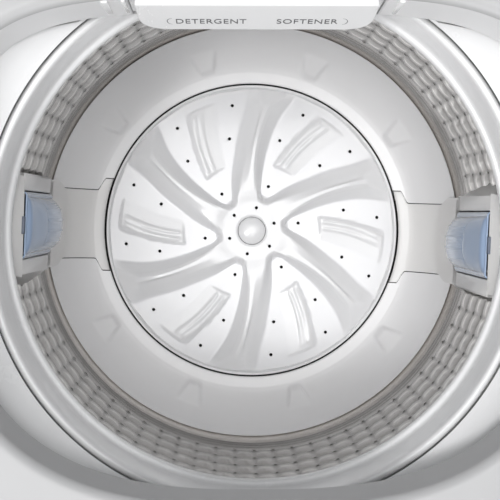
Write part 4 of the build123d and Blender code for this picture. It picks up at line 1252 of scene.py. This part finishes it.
drawerShape = {
    "middle": -3.0,
    "lowHalf": 94.5,
    "highHalf": 96.8,
    "lowZ": 824.0,
    "highZ": 872.0,
    "lowY": 151.4,
    "highY": 163.4,
    "corner": 23.0,
    "thick": 4.0,
    "wordZ": 841.5,
    "wordHeight": 9.0,
    "words": (("detergentWord", "DETERGENT", -39.7, 57.0), ("softenerWord", "SOFTENER", 38.2, 49.5)),
    "brackets": ((-1, -71.5), (1, 67.0)),
}


def drawerFace(z):
    # the face's y at a height
    s = drawerShape
    return lerp(s["lowY"], s["highY"], (z - s["lowZ"]) / (s["highZ"] - s["lowZ"]))


def makeDrawer():
    s = drawerShape
    outline = rounded([(-s["lowHalf"], s["lowZ"], s["corner"]), (s["lowHalf"], s["lowZ"], s["corner"]),
                       (s["highHalf"], s["highZ"], 3.0), (-s["highHalf"], s["highZ"], 3.0)], 8)
    centre = Vector((0, (s["lowZ"] + s["highZ"]) / 2))
    bm = bmesh.new()
    loops = []
    for inset, depth in ((2.4, 0.3), (1.2, 0.4), (0.4, 0.7), (0.0, 1.3), (0.0, s["thick"] + 1)):
        loop = []
        for point in outline:
            toward = centre - point
            shrunk = Vector((point.x + math.copysign(min(inset, abs(toward.x)), toward.x),
                             point.y + math.copysign(min(inset, abs(toward.y)), toward.y)))
            loop.append(bm.verts.new(((shrunk.x + s["middle"]) * mm, (drawerFace(shrunk.y) + depth) * mm,
                                      shrunk.y * mm)))
        loops.append(loop)
    joinLoops(bm, loops)
    bm.faces.new(loops[0])
    bm.faces.new(loops[-1])
    bmesh.ops.recalc_face_normals(bm, faces=bm.faces)
    face = finish("drawerFace", bm, whiteMoulding, "drawer", ["dispenser_drawer"])
    sharpen(face, 40)
    # the tray behind the face, with its divider
    bm = bmesh.new()
    blockPiece(bm, (-94, 163.5, 823.2), (94, 262, 825.2), 0.5)
    blockPiece(bm, (-94, 163.5, 824.6), (-92, 262, 868), 0.5)
    blockPiece(bm, (92, 163.5, 824.6), (94, 262, 868), 0.5)
    blockPiece(bm, (-93, 260, 824.6), (93, 262, 868), 0.5)
    blockPiece(bm, (11, 164, 824.6), (13, 261, 868), 0.5)
    finish("drawerTray", bm, whiteMoulding, "drawer")


makeDrawer()


def textMesh(name, words, width, height, place, turn):
    # dark letters as a mesh of a given size, with their middle at place and facing along a turn
    curve = bpy.data.curves.new(name, "FONT")
    curve.body = words
    curve.size = height / 0.7
    curve.extrude = 0.00012
    curve.space_character = 1.1
    letters = bpy.data.objects.new(name, curve)
    scene.collection.objects.link(letters)
    bpy.context.view_layer.update()
    mesh = bpy.data.meshes.new_from_object(letters.evaluated_get(bpy.context.evaluated_depsgraph_get()))
    bpy.data.objects.remove(letters, do_unlink=True)
    xs = [v.co.x for v in mesh.vertices]
    ys = [v.co.y for v in mesh.vertices]
    mesh.transform(Matrix.Translation((-(min(xs) + max(xs)) / 2, -(min(ys) + max(ys)) / 2, 0)))
    mesh.transform(Matrix.Diagonal((width / (max(xs) - min(xs)), height / (max(ys) - min(ys)), 1, 1)))
    mesh.transform(Matrix.Translation(Vector(place)) @ turn.to_4x4())
    mesh.materials.clear()
    mesh.materials.append(printInk)
    piece = bpy.data.objects.new(name, mesh)
    scene.collection.objects.link(piece)
    return piece


def facing(across, up):
    # a rotation that lays flat work along two directions
    across = Vector(across).normalized()
    up = Vector(up).normalized()
    return Matrix((across, up, across.cross(up))).transposed()


def makeDrawerWords():
    s = drawerShape
    up = (0, s["highY"] - s["lowY"], s["highZ"] - s["lowZ"])
    turn = facing((1, 0, 0), up)
    z = s["wordZ"]
    for name, words, x, width in s["words"]:
        place = (x * mm, (drawerFace(z) + 0.2) * mm, z * mm)
        word = textMesh(name, words, width * mm, s["wordHeight"] * mm, place, turn)
        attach(word, "drawer")
    # thin bracket lines at the two ends
    bm = bmesh.new()
    for side, x in s["brackets"]:
        inner = []
        outer = []
        for k in range(13):
            a = math.pi * (k / 12 - 0.5)
            z = s["wordZ"] + 5.6 * math.sin(a)
            y = drawerFace(z) + 0.12
            inner.append(bm.verts.new(((x + side * 3.6 * math.cos(a)) * mm, y * mm, z * mm)))
            outer.append(bm.verts.new(((x + side * 4.1 * math.cos(a) + side * 0.1) * mm, y * mm, z * mm)))
        for k in range(12):
            bm.faces.new((inner[k], inner[k + 1], outer[k + 1], outer[k]))
    bmesh.ops.recalc_face_normals(bm, faces=bm.faces)
    for face in bm.faces:
        if face.normal.y > 0:
            face.normal_flip()
    brackets = finish("wordBrackets", bm, printInk, "drawer", flat=True)
    wall = brackets.modifiers.new("ink", "SOLIDIFY")
    wall.thickness = 0.00015
    return brackets


makeDrawerWords()
print("drawer shaped")

# soft edged copies of the plainer moulded parts


def softened(node, width, segments, material, body, angle=28):
    # a merged copy of a node with small rounded edges
    source = nodes[node]
    bm = bmesh.new()
    bm.from_mesh(source.data)
    bm.transform(source.matrix_world)
    bmesh.ops.remove_doubles(bm, verts=bm.verts, dist=0.00001)
    bmesh.ops.dissolve_limit(bm, angle_limit=math.radians(0.6), verts=bm.verts, edges=bm.edges)
    bmesh.ops.recalc_face_normals(bm, faces=bm.faces)
    piece = finish(node + ".soft", bm, material, body, [node])
    bevel = piece.modifiers.new("edges", "BEVEL")
    bevel.width = width * mm
    bevel.segments = segments
    bevel.limit_method = "ANGLE"
    bevel.angle_limit = math.radians(angle)
    bevel.use_clamp_overlap = True
    bevel.harden_normals = True
    return piece


softened("console_housing", 1.4, 3, whiteMoulding, "cabinet")
softened("lid_frame", 2.2, 3, whiteMoulding, "lid")
softened("control_panel", 0.4, 2, greyMoulding, "cabinet")
softened("dispenser_housing", 0.6, 2, whiteMoulding, "cabinet")
softened("base_frame", 2.0, 2, darkMoulding, "cabinet")
softened("tub_cover", 0.7, 2, tubMoulding, "tub")
for buttonName in ("power", "start", "program", "level", "wash", "spin"):
    softened("button_" + buttonName, 0.3, 2, whiteMoulding, "button_" + buttonName)
print("soft edged copies made")


def glassLook():
    material, tree, shader = newMaterial("lidGlass")
    skin = useGroup(tree, mouldSkin, Drift_Scale=7.0, Grain_Scale=200.0)
    base = mixColour(tree, skin.outputs["Drift"], (0.86, 0.93, 0.92), (0.82, 0.90, 0.89))
    link(tree, base, shader.inputs["Base Color"])
    shader.inputs["Transmission Weight"].default_value = 0.92
    shader.inputs["IOR"].default_value = 1.5
    rough = maths(tree, "MULTIPLY", skin.outputs["Drift"], 0.04)
    link(tree, rough, shader.inputs["Roughness"])
    bump(tree, shader, skin.outputs["Drift"], 0.02)
    return material


slotLooks = {
    "white_paint": whitePaint,
    "white_plastic": whiteMoulding,
    "grey_plastic": greyMoulding,
    "stainless": steelMaterial,
    "filter_blue": blueMoulding,
    "filter_mesh": blueMoulding,
    "lid_glass": glassLook(),
    "dark_plastic": darkMoulding,
    "rubber": softRubber,
    "zinc_steel": zincSteel,
    "cast_aluminium": castAluminium,
    "circuit": boardGreen,
    "display_black": displayBlack,
    "tub_plastic": tubMoulding,
}
for record in frame["record"]["subparts"]:
    node = nodes[record["node"]]
    node.data.materials.clear()
    node.data.materials.append(slotLooks[record["material_slot"]])
print("plain nodes given their finishes")

# stage

lighting = {
    "world": 0.20,
    "keyPower": 100.0,
    "keyPlace": (-1.8, -0.9, 6.0),
    "keySize": 1.0,
    "overheadPower": 160.0,
    "overheadPlace": (0.1, 0.1, 6.0),
    "overheadSize": 3.0,
    "frontPower": 130.0,
    "frontPlace": (-0.4, -4.8, 3.4),
    "frontSize": 2.4,
}


def areaLight(name, place, aim, size, power, colour=(1, 1, 1)):
    data = bpy.data.lights.new(name, "AREA")
    data.size = size
    data.energy = power
    data.color = colour
    lamp = bpy.data.objects.new(name, data)
    lamp.location = place
    lamp.rotation_euler = (Vector(aim) - Vector(place)).to_track_quat("-Z", "Y").to_euler()
    scene.collection.objects.link(lamp)


def makeStage():
    bm = bmesh.new()
    bmesh.ops.create_grid(bm, x_segments=1, y_segments=1, size=6.0)
    mesh = bpy.data.meshes.new("floor")
    bm.to_mesh(mesh)
    bm.free()
    floor = bpy.data.objects.new("floor", mesh)
    scene.collection.objects.link(floor)
    mesh.materials.append(plasticLook("paleFloor", (0.72, 0.72, 0.72), (0.69, 0.69, 0.69), roughness=0.7,
                                      dust=0.0, wear=0.0))
    world = bpy.data.worlds.new("softWorld")
    world.use_nodes = True
    world.node_tree.nodes["Background"].inputs["Color"].default_value = (0.95, 0.97, 1.0, 1)
    world.node_tree.nodes["Background"].inputs["Strength"].default_value = lighting["world"]
    scene.world = world
    areaLight("key", lighting["keyPlace"], (0.0, 0.0, 0.45), lighting["keySize"], lighting["keyPower"])
    areaLight("overhead", lighting["overheadPlace"], (0.0, -0.02, 0.5), lighting["overheadSize"],
              lighting["overheadPower"])
    areaLight("front", lighting["frontPlace"], (0.0, 0.1, 0.8), lighting["frontSize"], lighting["frontPower"])
    scene.view_settings.view_transform = "Standard"


makeStage()
print("stage lit")
